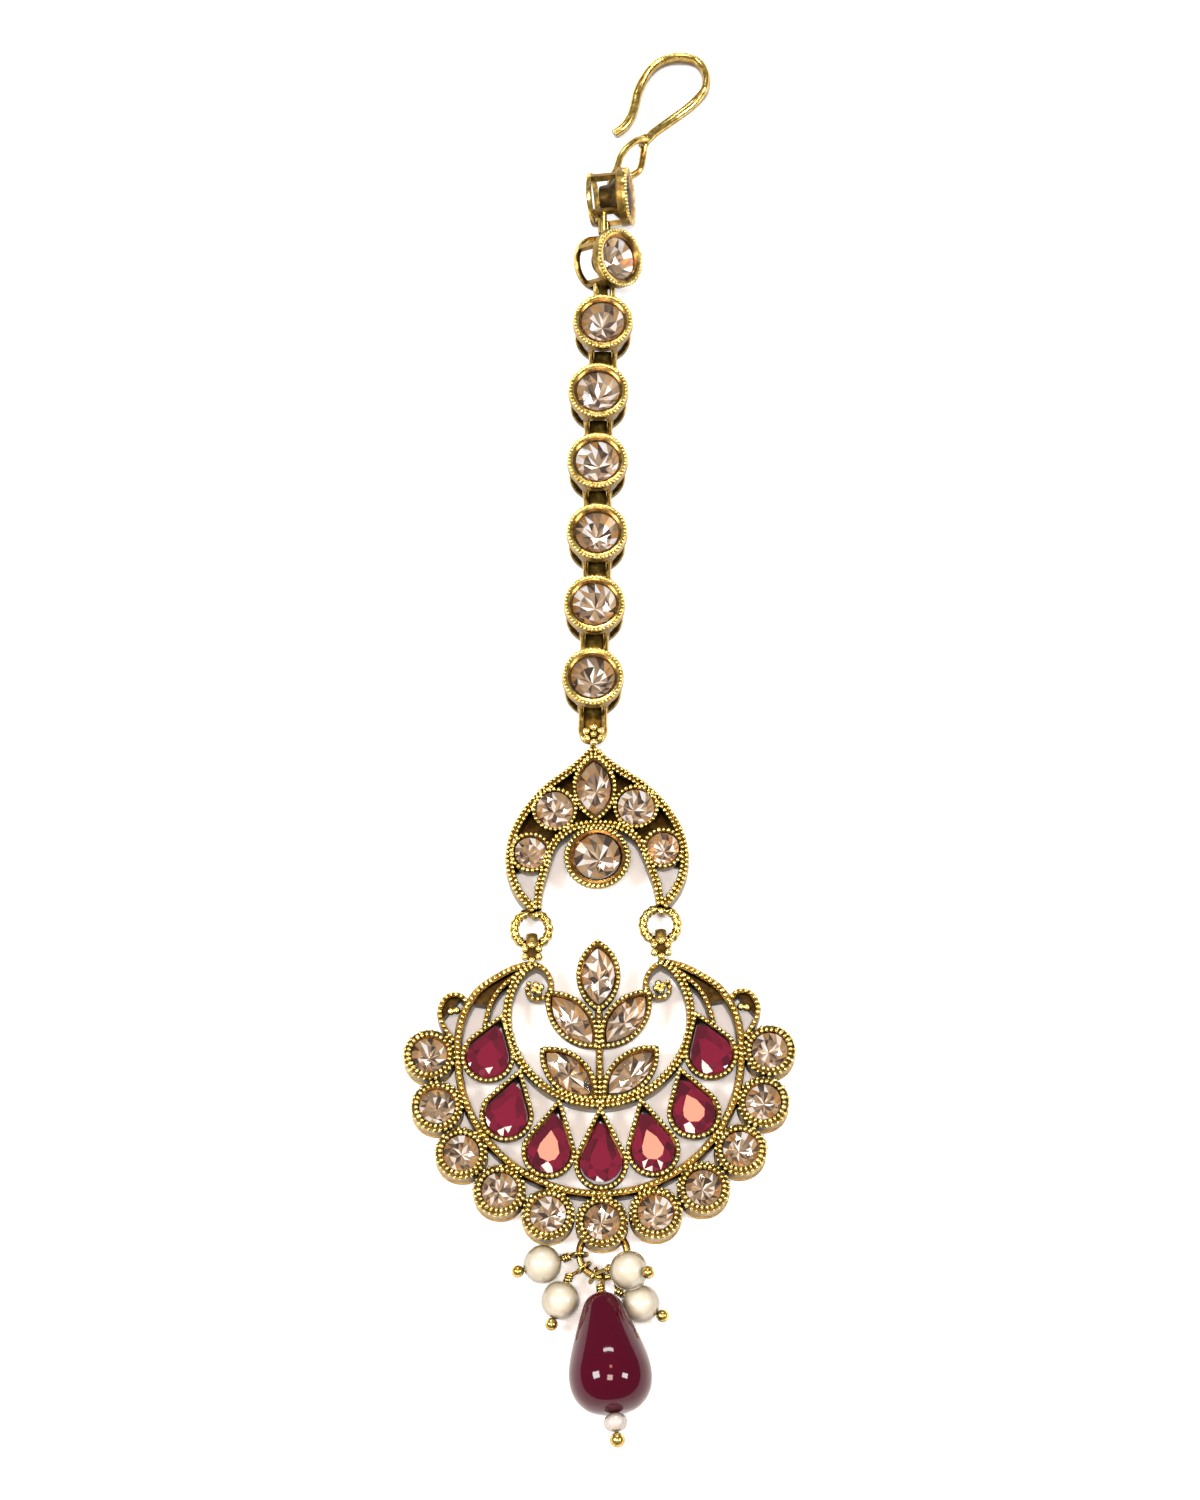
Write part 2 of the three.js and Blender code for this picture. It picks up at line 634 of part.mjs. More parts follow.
function buildChain(bail) {
  const frameGeometry = linkFrame();
  const stoneGeometry = linkStoneCut();
  let barY = bail.y;
  let last = null;
  chainRoute.forEach((row, i) => {
    const link = new THREE.Group();
    const number = chainRoute.length - i;
    [['chain_link', frameGeometry, gold], ['chain_stone', stoneGeometry, champagne]].forEach(([name, shape, look]) => {
      place(`${name}_${number}`, shape, look, link).position.z = -loopLevel;
    });
    link.rotation.set(radians(row.tilt), radians(row.turn), 0);
    link.position.set(row.x, barY + barReach * Math.cos(radians(row.tilt)) - row.slack, 0);
    link.position.z = -new THREE.Box3().setFromObject(link, true).min.z;
    jewel.add(link);
    barY = link.position.y + barInset * Math.cos(radians(row.tilt));
    last = link;
  });
  return last;
}

// Hook: its eye goes round the post of the first link, and its points are set off from that post
const eyeRoute = [
  space(4.05, 4.95, -0.6), space(3.6, 3.9, 0.45), space(3.1, 2.85, 1.0), space(1.7, 1.75, 1.15),
  space(0.75, 0.85, 1.15), space(0.3, -0.1, 1.05), space(0.22, -0.95, 0.35), space(0.2, -1.0, -0.4),
  space(0.28, -0.5, -1.1), space(0.46, 0.75, -1.4), space(0.8, 2.15, -1.5), space(1.5, 3.75, -1.4),
  space(2.8, 4.9, -1.1),
];
const hookRoute = [ // rise: share of the way from the level of the bend up to the post
  { x: 3.45, y: 4.7, rise: 0.6 }, { x: 4.3, y: 5.2, rise: 0.55 }, { x: 5.0, y: 6.15, rise: 0.38 },
  { x: 6.1, y: 7.3, rise: 0.16 }, { x: 7.5, y: 8.6, rise: 0 }, { x: 8.9, y: 9.75, rise: 0 },
  { x: 10.0, y: 10.9, rise: 0 }, { x: 10.7, y: 11.9, rise: 0 }, { x: 10.94, y: 13.2, rise: 0 },
  { x: 10.7, y: 14.45, rise: 0 }, { x: 9.95, y: 15.5, rise: 0 }, { x: 8.7, y: 16.0, rise: 0 },
  { x: 7.25, y: 16.0, rise: 0 }, { x: 5.8, y: 15.45, rise: 0 }, { x: 4.65, y: 14.4, rise: 0 },
  { x: 3.8, y: 13.05, rise: 0 }, { x: 3.2, y: 11.5, rise: 0 }, { x: 2.88, y: 9.85, rise: 0 },
  { x: 2.4, y: 8.45, rise: -0.05 }, { x: 1.65, y: 7.35, rise: -0.1 }, { x: 0.64, y: 6.6, rise: -0.15 },
];
const stripFrom = 7;
const stripTo = 15;

function buildHook(link) {
  link.updateWorldMatrix(true, false);
  const post = link.localToWorld(space(0, postRadius, linkRingHeight + linkGalleryHeight / 2 - loopLevel));
  const level = hookStripDepth / 2 + 0.02;
  const strip = hookRoute.slice(stripFrom, stripTo).map((row) => point(row.x, row.y));
  const solid = joined([
    wire(eyeRoute.map((p) => p.clone().add(space(0, 0, post.z))), hookEyeWire, 16, true),
    wire(hookRoute.map((row) => space(row.x, row.y, level + row.rise * (post.z - level))), hookWire, 26),
    band(smooth(strip, 8), hookStripWidth, level - hookStripDepth / 2, level + hookStripDepth / 2),
  ]);
  place('hair_hook', geometryOf(solid), wireGold, jewel).position.set(post.x, post.y, 0);
}

function buildPendant(crescent) {
  crescent.updateWorldMatrix(true, false);
  const half = crescentHalfWidth;
  const lowest = [-1, 1].map((side) => {
    const x = side * legRingAt.x * half + legRingShift;
    const middle = crescent.localToWorld(space(x, legRingAt.y * half, ringLevel));
    return middle.add(space(0, -legRingDiameter / 2, 0));
  });
  const group = new THREE.Group();
  group.rotation.z = radians(pendantTurn);
  const between = lowest[0].clone().add(lowest[1]).divideScalar(2);
  group.position.set(between.x - legRingShift, between.y - hornTip.y - pendantBailRise, 0);
  group.updateWorldMatrix(true, false);
  const bails = lowest.map((p) => group.worldToLocal(p.clone()));
  const ringReach = rimCupRadius - rimWall - wireGap - jumpRingWire / 2 + jumpRingDiameter / 2;
  const jumpRing = space(0.1, -rimRadius - ringReach + jumpRingSlack, jumpRingLevel);
  place('pendant_frame', pendantFrame(bails, jumpRing), gold, group);
  for (let i = 0; i < rimCups; i += 1) {
    const outline = moved(circle(rimStone / 2, stoneSides), rimCupAt(i).x, rimCupAt(i).y);
    place(`rim_stone_${i + 1}`, cutStone(outline, settingHeight - 0.4, 0.7, 0.9), champagne, group);
  }
  pears.forEach((row, i) => {
    const at = pearAt(row);
    const outline = moved(pear(pearRadius, at.tip, pearSteps), at.x, at.y, at.turn);
    place(`pear_stone_${i + 1}`, cutStone(outline, settingHeight - 0.4, 0.7, 1.3), ruby, group);
  });
  leaves.forEach((row) => {
    const outline = moved(marquise(leafLength, leafWidth, leafSteps), leafAt(row).x, leafAt(row).y, row.turn);
    place(row.name, cutStone(outline, settingHeight - 0.4, 0.7, 1.2), champagne, group);
  });
  const top = moved(marquise(topLeafLength, topLeafWidth, leafSteps), 0, topLeafY);
  place('leaf_stone_top', cutStone(top, settingHeight - 0.4, 0.7, 1.2), champagne, group);
  jewel.add(group);
  return group.localToWorld(jumpRing);
}

function buildCluster(middle) {
  const group = new THREE.Group();
  place('drop_jump_ring', merged(ring(jumpRingDiameter, jumpRingWire, 14)), wireGold, group);
  clusterPearls.forEach((row) => {
    const along = direction(row.turn, row.rise);
    place(`pearl_${row.name}`, bead(roundProfile, pearl, pearl, pearlMiddle(row), along), nacre, group);
    place(`pearl_pin_${row.name}`, pearlPin(row), wireGold, group);
  });
  const along = direction(dropTurn, dropRise);
  place('drop_bead', bead(dropProfile, dropWidth, dropLength, dropAt(dropLength / 2), along), dropGlass, group);
  const seedMiddle = dropAt(dropLength + beadGap + seedPearlLength / 2);
  place('seed_pearl', bead(roundProfile, seedPearl, seedPearlLength, seedMiddle, along), nacre, group);
  place('drop_pin', dropPin(), wireGold, group);
  group.position.copy(middle);
  jewel.add(group);
}

const crescent = buildCrescent();
crescent.updateWorldMatrix(true, false);
const bail = crescent.localToWorld(space(0, crescentBailAt.y * crescentHalfWidth, loopLevel));
buildHook(buildChain(bail));
buildCluster(buildPendant(crescent));

// The origin: the middle of the footprint, on the surface that the jewel lies on
const box = new THREE.Box3().setFromObject(jewel, true);
const centre = box.getCenter(space(0, 0, 0));
jewel.position.set(-centre.x, -centre.y, -box.min.z);

export default jewel;
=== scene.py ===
# Looks of the maang tikka: antique gold with milgrain, champagne crystals, ruby pears, pearls and a
# glass drop. Lengths are in millimetres and become metres where a mesh is made.

import math

import bmesh
import bpy
import numpy as np
from mathutils import Matrix, Vector


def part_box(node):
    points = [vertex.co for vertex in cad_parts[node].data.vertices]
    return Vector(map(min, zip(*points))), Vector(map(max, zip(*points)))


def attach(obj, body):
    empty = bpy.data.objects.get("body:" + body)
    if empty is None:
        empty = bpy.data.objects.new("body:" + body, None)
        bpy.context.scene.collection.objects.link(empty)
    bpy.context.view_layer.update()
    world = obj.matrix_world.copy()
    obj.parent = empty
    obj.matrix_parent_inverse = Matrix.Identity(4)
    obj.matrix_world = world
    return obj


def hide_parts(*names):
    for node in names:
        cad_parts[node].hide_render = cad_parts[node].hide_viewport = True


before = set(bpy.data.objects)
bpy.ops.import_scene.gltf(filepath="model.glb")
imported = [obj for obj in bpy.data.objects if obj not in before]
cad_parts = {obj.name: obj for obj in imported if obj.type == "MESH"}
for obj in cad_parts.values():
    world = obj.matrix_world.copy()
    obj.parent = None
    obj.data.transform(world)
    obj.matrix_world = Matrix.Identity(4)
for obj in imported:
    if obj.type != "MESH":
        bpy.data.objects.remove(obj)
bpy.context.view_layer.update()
mm = 0.001
upAxis = Vector((0, 0, 1))


# Places of the CAD pieces
def centreOf(node):
    low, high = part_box(node)
    return (low + high) / 2 / mm


def turned(degrees):
    return Matrix.Rotation(math.radians(degrees), 4, "Z")


def placeAt(x, y, z=0, degrees=0):
    return Matrix.Translation((x, y, z)) @ turned(degrees)


pendantTurn = 0.8
crescentTurn = 2.0
rimHighY = 0.227             # the two end cups of the rim sit this far above its middle
rimEnds = (centreOf("rim_stone_1") + centreOf("rim_stone_11")) / 2
rimMiddle = rimEnds - turned(pendantTurn) @ Vector((0, rimHighY, 0))
pendantPlace = placeAt(rimMiddle.x, rimMiddle.y, 0, pendantTurn)
bigCentre = centreOf("crescent_stone_big")
crescentPlace = placeAt(bigCentre.x, bigCentre.y, 0, crescentTurn)

# Camera: over the jewel, 20 degrees towards its drop end. ahead leads from the rim's middle to the aim
cameraSet = {"distance": 400, "lean": 20, "lens": 91.43, "sensor": 36, "ahead": (0.05, 33.8)}


def makeCamera():
    lean = math.radians(cameraSet["lean"])
    aim = Vector((rimMiddle.x + cameraSet["ahead"][0], rimMiddle.y + cameraSet["ahead"][1], 0))
    data = bpy.data.cameras.new("photoCamera")
    data.lens = cameraSet["lens"]
    data.sensor_width = cameraSet["sensor"]
    data.clip_start = 0.01
    data.clip_end = 10
    camera = bpy.data.objects.new("photoCamera", data)
    back = Vector((0, -math.sin(lean), math.cos(lean)))
    camera.location = (aim + back * cameraSet["distance"]) * mm
    camera.rotation_euler = (lean, 0, 0)
    bpy.context.scene.collection.objects.link(camera)
    bpy.context.scene.camera = camera


makeCamera()
print("camera set")


# Colours and nodes
def hexColour(text, alpha=1.0):
    def linear(value):
        return value / 12.92 if value <= 0.04045 else ((value + 0.055) / 1.055) ** 2.4
    channels = [int(text[i:i + 2], 16) / 255 for i in (1, 3, 5)]
    return (*[linear(c) for c in channels], alpha)


# Adds a node: settings are its inputs by name or properties, and links maps an input to an output
def addNode(tree, kind, links=None, **settings):
    node = tree.nodes.new(kind)
    for key, value in settings.items():
        if key in node.inputs:
            node.inputs[key].default_value = value
        else:
            setattr(node, key, value)
    for key, source in (links or {}).items():
        tree.links.new(source, node.inputs[key])
    return node


def newMaterial(name, settings):
    material = bpy.data.materials.new(name)
    material.use_nodes = True
    tree = material.node_tree
    tree.nodes.clear()
    surface = addNode(tree, "ShaderNodeBsdfPrincipled", **settings)
    addNode(tree, "ShaderNodeOutputMaterial", {"Surface": surface.outputs["BSDF"]})
    return material, tree, surface


def mixColours(tree, factor, first, second):
    node = addNode(tree, "ShaderNodeMix", data_type="RGBA")
    for socket, value in ((node.inputs[0], factor), (node.inputs[6], first), (node.inputs[7], second)):
        if isinstance(value, bpy.types.NodeSocket):
            tree.links.new(value, socket)
        else:
            socket.default_value = value
    return node.outputs[2]


def rampOf(tree, source, stops):
    ramp = addNode(tree, "ShaderNodeValToRGB", {"Fac": source})
    elements = ramp.color_ramp.elements
    while len(elements) < len(stops):
        elements.new(0.5)
    for element, (position, value) in zip(elements, stops):
        element.position = position
        element.color = value if isinstance(value, tuple) else (value, value, value, 1)
    return ramp.outputs["Color"]


# Noise whose blotches are about sizeInMm across
def speckle(tree, sizeInMm, detail=3.0):
    coordinates = addNode(tree, "ShaderNodeTexCoord")
    noise = addNode(tree, "ShaderNodeTexNoise", {"Vector": coordinates.outputs["Object"]},
                    Scale=1 / (sizeInMm * mm), Detail=detail, Roughness=0.6)
    return noise.outputs["Fac"]


# Colour of a face by the painted light per facet in its face attribute, from 0 to 1
def facetColour(tree, stops):
    facet = addNode(tree, "ShaderNodeAttribute", attribute_name="facetPaintedLight")
    return rampOf(tree, facet.outputs["Fac"], [(at, hexColour(text)) for at, text in stops])


# Gold-plated cast metal with an antique finish, partly painted light: brown patina in the recesses, darkened
# further as painted shade, and a top painted lighter than the sides and underneath
def antiqueGold(name, bright, middle, recess, rough, reach, grime=1.0, deep=0.35, clear=0.8, sideShade=0.55):
    material, tree, surface = newMaterial(name, {"Metallic": 1.0})
    # Painted shade: occlusion darkens the recesses and the gaps between parts towards the recess colour, over
    # their patina
    hollow = addNode(tree, "ShaderNodeAmbientOcclusion", samples=6, Distance=reach * mm)
    openness = rampOf(tree, hollow.outputs["AO"], [(deep, 0.0), (clear, 1.0)])
    # Painted light: the top is painted lighter, and the sides and underneath darker, as light falling from
    # above would leave them
    facing = addNode(tree, "ShaderNodeSeparateXYZ",
                     {"Vector": addNode(tree, "ShaderNodeTexCoord").outputs["Normal"]})
    paintedTopLight = rampOf(tree, facing.outputs["Z"], [(0.0, 1 - sideShade), (0.6, 1.0)])
    depth = addNode(tree, "ShaderNodeMath", {0: openness, 1: paintedTopLight}, operation="MULTIPLY").outputs["Value"]
    stain = speckle(tree, 0.55)
    mottled = mixColours(tree, rampOf(tree, stain, [(0.38, 0.0), (0.66, 1.0)]),
                         hexColour(middle), hexColour(bright))
    patinaAndShadeColour = mixColours(tree, depth, hexColour(recess), mottled)
    tree.links.new(patinaAndShadeColour, surface.inputs["Base Color"])
    spread = addNode(tree, "ShaderNodeMapRange", {"Value": stain},
                     **{"To Min": rough - 0.06, "To Max": rough + 0.1})
    tree.links.new(spread.outputs["Result"], surface.inputs["Roughness"])
    fine = addNode(tree, "ShaderNodeBump", {"Height": speckle(tree, 0.16, 2.0)},
                   Strength=0.25 * grime, Distance=0.05 * mm)
    tree.links.new(fine.outputs["Normal"], surface.inputs["Normal"])
    return material


# Beads and ropes: bright yellow crests, with painted shade darkening the gaps between them
beadGold = antiqueGold("milgrain_gold", "#fff0a8", "#e2bf5e", "#52360a", 0.24, 0.42,
                       deep=0.1, clear=0.56, sideShade=0.85)
# Bands below the beads: an olive gold, duller than they are
castGold = antiqueGold("cast_gold", "#bea450", "#866e30", "#281a06", 0.31, 1.5, clear=0.95, sideShade=0.7)
# Outer walls of the settings: brownish, with broad soft highlights
wallGold = antiqueGold("satin_gold_wall", "#a88c4c", "#80662e", "#2e1c06", 0.38, 1.0, sideShade=0.3)
# Wires and rings: smooth and pale, with narrow streaks of light
wireGold = antiqueGold("plated_brass_wire", "#f0da8a", "#b8923c", "#3a2406", 0.18, 0.8,
                       grime=0.4, sideShade=0.95)
# Brown patina left in the bottom of the openwork and on the lips of the settings; in the openwork it also
# colours dark sheets that are painted shade
patinaAndShadeGold = antiqueGold("brown_patina_and_shade", "#5c4826", "#3c2e14", "#241806", 0.42, 1.0,
                         deep=0.1, clear=0.7, sideShade=0.5)
# Amber inner side of the lips, seen round each stone
lipGold = antiqueGold("amber_lip", "#a87c40", "#785226", "#44260c", 0.22, 0.4, deep=0.15, clear=0.7)
goldLooks = [castGold, wallGold, beadGold, wireGold, patinaAndShadeGold, lipGold]
castSlot, wallSlot, beadSlot, wireSlot, patinaAndShadeSlot, lipSlot = range(6)


# Crystal: a mirror-smooth crown that shows the foiled facets below it
def foiledCrystal(name, stops):
    crown, tree, surface = newMaterial(name + "_crown", {"Base Color": hexColour("#ffffff"), "Metallic": 1.0,
                                                         "Roughness": 0.03, "Alpha": 0.06})
    foil, tree, surface = newMaterial(name + "_foil", {"Metallic": 0.5, "Roughness": 0.22})
    # The foil's colour per facet is partly the stone's tone and partly painted reflections and flashes
    tree.links.new(facetColour(tree, stops), surface.inputs["Base Color"])
    return crown, foil


# Ruby-red glass, nearly opaque, polished; each facet is painted darker or lighter by its value, painted shade
# and painted reflection
def rubyGlass():
    material, tree, surface = newMaterial("ruby_glass", {"Roughness": 0.04, "IOR": 1.6})
    tree.links.new(facetColour(tree, [(0.0, "#360412"), (0.5, "#5c0a22"), (1.0, "#78102e")]),
                   surface.inputs["Base Color"])
    return material


# Pearl: soft cream nacre under a glossy coat, with painted shade darkening it towards its limb
def nacreLook(name, light, shade, limb):
    material, tree, surface = newMaterial(name, {
        "Roughness": 0.22, "IOR": 1.6, "Coat Weight": 1.0, "Coat Roughness": 0.08,
        "Subsurface Weight": 0.1, "Subsurface Radius": (1.0, 0.8, 0.6), "Subsurface Scale": 0.6 * mm})
    bloom = rampOf(tree, speckle(tree, 1.6, 2.0), [(0.3, 0.0), (0.7, 1.0)])
    nacre = mixColours(tree, bloom, hexColour(shade), hexColour(light))
    # Painted shade: the base colour darkens towards the limb as the surface turns away from view
    limbShadeWeight = addNode(tree, "ShaderNodeLayerWeight", Blend=0.5)
    edge = rampOf(tree, limbShadeWeight.outputs["Facing"], [(0.04, 0.0), (0.6, 1.0)])
    tree.links.new(mixColours(tree, edge, nacre, hexColour(limb)), surface.inputs["Base Color"])
    return material


# Foil colours from the lowest facet value to the highest: amber and peach, a painted reflection of the gold
# setting; dark and grey-brown up to champagne, partly the stone's tone and partly painted reflections; white,
# painted flashes of light
champagne = foiledCrystal("champagne_crystal", [
    (0.0, "#a06c30"), (0.08, "#c8a270"), (0.12, "#3a2c22"), (0.3, "#6e5c4e"), (0.55, "#a08a70"),
    (0.75, "#c0a988"), (0.88, "#f6eee2"), (1.0, "#fbfdff")])
rubyLook = rubyGlass()
# Dark garnet-red glass bead, polished
garnetLook = newMaterial("garnet_glass", {"Base Color": hexColour("#420016"), "Roughness": 0.06,
                                          "IOR": 1.35})[0]
pearlLook = nacreLook("imitation_nacre", "#dfd7c6", "#cbc1a9", "#75694e")
seedLook = nacreLook("seed_nacre", "#d6cfc8", "#c0b7ae", "#85796e")
print("materials made")


# Shapes: points and faces gathered for one piece
def newShape():
    return {"points": [], "faces": [], "slots": [], "shades": []}


def addFaces(shape, points, faces, slot=0, shades=None):
    first = len(shape["points"])
    shape["points"].extend(points)
    shape["faces"].extend([tuple(first + i for i in face) for face in faces])
    shape["slots"].extend([slot] * len(faces))
    shape["shades"].extend(shades if shades else [1.0] * len(faces))


# Joins rings of the same number of points: wrapRing closes each ring, wrapLoft joins the last to the first
def addLoft(shape, rings, place=None, slot=0, wrapRing=True, wrapLoft=True):
    count = len(rings[0])
    points = [place @ Vector(p) if place else Vector(p) for ring in rings for p in ring]
    faces = []
    for i in range(len(rings) if wrapLoft else len(rings) - 1):
        for j in range(count if wrapRing else count - 1):
            a, b = i * count + j, i * count + (j + 1) % count
            c, d = ((i + 1) % len(rings)) * count + (j + 1) % count, ((i + 1) % len(rings)) * count + j
            faces.append((a, b, c, d))
    if not wrapLoft and wrapRing:
        faces.append(tuple(reversed(range(count))))
        faces.append(tuple((len(rings) - 1) * count + j for j in range(count)))
    elif wrapLoft and not wrapRing:
        faces.append(tuple(i * count for i in range(len(rings))))
        faces.append(tuple(reversed([i * count + count - 1 for i in range(len(rings))])))
    addFaces(shape, points, faces, slot)


def meshOf(name, shape, materials, sharpAbove=40):
    mesh = bpy.data.meshes.new(name)
    mesh.from_pydata([p * mm for p in shape["points"]], [], shape["faces"])
    for material in materials:
        mesh.materials.append(material)
    mesh.polygons.foreach_set("material_index", shape["slots"])
    mesh.polygons.foreach_set("use_smooth", [sharpAbove > 0] * len(mesh.polygons))
    layer = mesh.attributes.new("facetPaintedLight", "FLOAT", "FACE")
    layer.data.foreach_set("value", shape["shades"])
    shells = bmesh.new()
    shells.from_mesh(mesh)
    bmesh.ops.recalc_face_normals(shells, faces=shells.faces)
    shells.to_mesh(mesh)
    shells.free()
    if sharpAbove > 0:
        mesh.set_sharp_from_angle(angle=math.radians(sharpAbove))
    mesh.update()
    body = bpy.data.objects.new(name, mesh)
    bpy.context.scene.collection.objects.link(body)
    return body


fullTurn = 2 * math.pi


def onCircle(radius, angle, x=0, y=0):
    return x + radius * math.cos(angle), y + radius * math.sin(angle)


# Outlines as functions of how far they are grown outwards
def circleOutline(radius, steps=48):
    def grown(grow):
        return [onCircle(radius + grow, fullTurn * i / steps) for i in range(steps)]
    return grown


# Round end at the origin, tip on +Y
def pearOutline(radius, tip, steps=30, flank=6):
    def grown(grow):
        big, reach = radius + grow, tip + grow * tip / radius * 0.8
        touch = math.asin(big / reach)
        arc = math.pi + 2 * touch
        points = [onCircle(big, math.pi - touch + arc * i / steps) for i in range(steps + 1)]
        last, first = points[-1], points[0]
        up = [(last[0] * (1 - k / flank), last[1] + (reach - last[1]) * k / flank)
              for k in range(1, flank + 1)]
        down = [(first[0] * k / flank, reach - (reach - first[1]) * k / flank) for k in range(1, flank)]
        return points + up + down
    return grown


# A pointed oval with its tips on Y
def marquiseOutline(length, width, steps=14):
    def grown(grow):
        halfWidth = width / 2 + grow
        halfLength = length / 2 + grow * 1.5
        radius = (halfLength ** 2 + halfWidth ** 2) / (2 * halfWidth)
        swing = math.asin(halfLength / radius)
        side = [onCircle(radius, swing * (2 * i / steps - 1), halfWidth - radius) for i in range(steps)]
        return side + [(-x, -y) for x, y in side]
    return grown


def atHeight(points, z):
    return [(x, y, z) for x, y in points]


# Catmull-Rom through 2-D or 3-D points
def smoothLine(points, perSpan=6, closed=False):
    knots = [Vector(p).to_3d() for p in points]
    count = len(knots)
    line = []
    for i in range(count if closed else count - 1):
        p1, p2 = knots[i], knots[(i + 1) % count]
        p0 = knots[i - 1] if closed or i > 0 else p1 + (p1 - p2)
        p3 = knots[(i + 2) % count] if closed or i + 2 < count else p2 + (p2 - p1)
        for k in range(perSpan):
            t = k / perSpan
            line.append(0.5 * (2 * p1 + (p2 - p0) * t + (2 * p0 - 5 * p1 + 4 * p2 - p3) * t * t
                               + (3 * p1 - p0 - 3 * p2 + p3) * t ** 3))
    if not closed:
        line.append(knots[-1])
    return line


# The line moved sideways, to its left for a positive distance
def offsetLine(line, across, z):
    moved = []
    for i, p in enumerate(line):
        along = line[min(i + 1, len(line) - 1)] - line[max(i - 1, 0)]
        side = Vector((-along.y, along.x, 0)).normalized()
        moved.append((p.x + side.x * across, p.y + side.y * across, z))
    return moved


# Bead rows: milgrain and rope wire, scattered along curves
def beadTree(material):
    tree = bpy.data.node_groups.new("beadRow", "GeometryNodeTree")
    face = tree.interface
    face.new_socket("Geometry", in_out="INPUT", socket_type="NodeSocketGeometry")
    sockets = {}
    for key, kind, value in (("Spacing", "Float", 0.45), ("Across", "Float", 0.45), ("Along", "Float", 0.45),
                             ("Upright", "Float", 0.4), ("Slant", "Float", 0.0), ("Unevenness", "Float", 0.1),
                             ("Seed", "Int", 1)):
        sockets[key] = face.new_socket(key, in_out="INPUT", socket_type=f"NodeSocket{kind}")
        sockets[key].default_value = value
    face.new_socket("Geometry", in_out="OUTPUT", socket_type="NodeSocketGeometry")
    start = addNode(tree, "NodeGroupInput")
    given = start.outputs
    dots = addNode(tree, "GeometryNodeCurveToPoints",
                   {"Curve": given["Geometry"], "Length": given["Spacing"]}, mode="LENGTH")
    ball = addNode(tree, "GeometryNodeMeshIcoSphere", Radius=0.5, Subdivisions=2)
    size = addNode(tree, "ShaderNodeCombineXYZ",
                   {"X": given["Across"], "Y": given["Upright"], "Z": given["Along"]})
    least = addNode(tree, "ShaderNodeMath", {1: given["Unevenness"]}, operation="SUBTRACT")
    least.inputs[0].default_value = 1.0
    most = addNode(tree, "ShaderNodeMath", {1: given["Unevenness"]}, operation="ADD")
    most.inputs[0].default_value = 1.0
    vary = addNode(tree, "FunctionNodeRandomValue", data_type="FLOAT")
    tree.links.new(least.outputs[0], vary.inputs[2])
    tree.links.new(most.outputs[0], vary.inputs[3])
    tree.links.new(given["Seed"], vary.inputs["Seed"])
    scaled = addNode(tree, "ShaderNodeVectorMath", {0: size.outputs["Vector"]}, operation="SCALE")
    tree.links.new(vary.outputs[1], scaled.inputs["Scale"])
    slant = addNode(tree, "ShaderNodeCombineXYZ", {"Y": given["Slant"]})
    turnedBy = addNode(tree, "FunctionNodeRotateRotation", {"Rotation": dots.outputs["Rotation"]},
                       rotation_space="LOCAL")
    tree.links.new(slant.outputs["Vector"], turnedBy.inputs["Rotate By"])
    beads = addNode(tree, "GeometryNodeInstanceOnPoints",
                    {"Points": dots.outputs["Points"], "Instance": ball.outputs["Mesh"],
                     "Rotation": turnedBy.outputs["Rotation"], "Scale": scaled.outputs["Vector"]})
    real = addNode(tree, "GeometryNodeRealizeInstances", {"Geometry": beads.outputs["Instances"]})
    rounded = addNode(tree, "GeometryNodeSetShadeSmooth", {"Geometry": real.outputs["Geometry"]})
    dressed = addNode(tree, "GeometryNodeSetMaterial", {"Geometry": rounded.outputs["Geometry"]},
                      Material=material)
    addNode(tree, "NodeGroupOutput", {"Geometry": dressed.outputs["Geometry"]})
    return tree, {key: socket.identifier for key, socket in sockets.items()}


beadGroup, beadSockets = beadTree(beadGold)


# One mesh of beads along all the rows, which are (points, closed) pairs
def beadRows(name, rows, spacing=0.45, across=0.45, along=0.45, upright=0.4, slant=0, unevenness=0.1, seed=1):
    curve = bpy.data.curves.new(name, "CURVE")
    curve.dimensions = "3D"
    for points, closed in rows:
        spline = curve.splines.new("POLY")
        spline.points.add(len(points) - 1)
        spline.points.foreach_set("co", [c * f for p in points for c, f in zip((*p, 1.0), (mm, mm, mm, 1.0))])
        spline.use_cyclic_u = closed
    for spline in curve.splines:
        spline.use_smooth = True
    carrier = bpy.data.objects.new(name, curve)
    bpy.context.scene.collection.objects.link(carrier)
    modifier = carrier.modifiers.new("beads", "NODES")
    modifier.node_group = beadGroup
    for key, value in (("Spacing", spacing * mm), ("Across", across * mm), ("Along", along * mm),
                       ("Upright", upright * mm), ("Slant", math.radians(slant)),
                       ("Unevenness", unevenness), ("Seed", seed)):
        modifier[beadSockets[key]] = value
    graph = bpy.context.evaluated_depsgraph_get()
    mesh = bpy.data.meshes.new_from_object(carrier.evaluated_get(graph), depsgraph=graph)
    bpy.data.objects.remove(carrier)
    bpy.data.curves.remove(curve)
    beads = bpy.data.objects.new(name, mesh)
    bpy.context.scene.collection.objects.link(beads)
    return beads


def joinTo(body, others):
    with bpy.context.temp_override(active_object=body, object=body, selected_objects=[body, *others],
                                   selected_editable_objects=[body, *others]):
        bpy.ops.object.join()


def placed(points, place):
    return [tuple(place @ Vector((*p, 0) if len(p) == 2 else p)) for p in points]


# Rows for beadRows, round an outline and along a line
def ringRow(outline, z, place, grow=0):
    return placed(atHeight(outline(grow), z), place), True


def lineRow(line, z, place, across=0):
    return placed(offsetLine(line, across, z), place), False


def finishPiece(body, slotName, *nodes):
    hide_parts(*nodes)
    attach(body, "root")


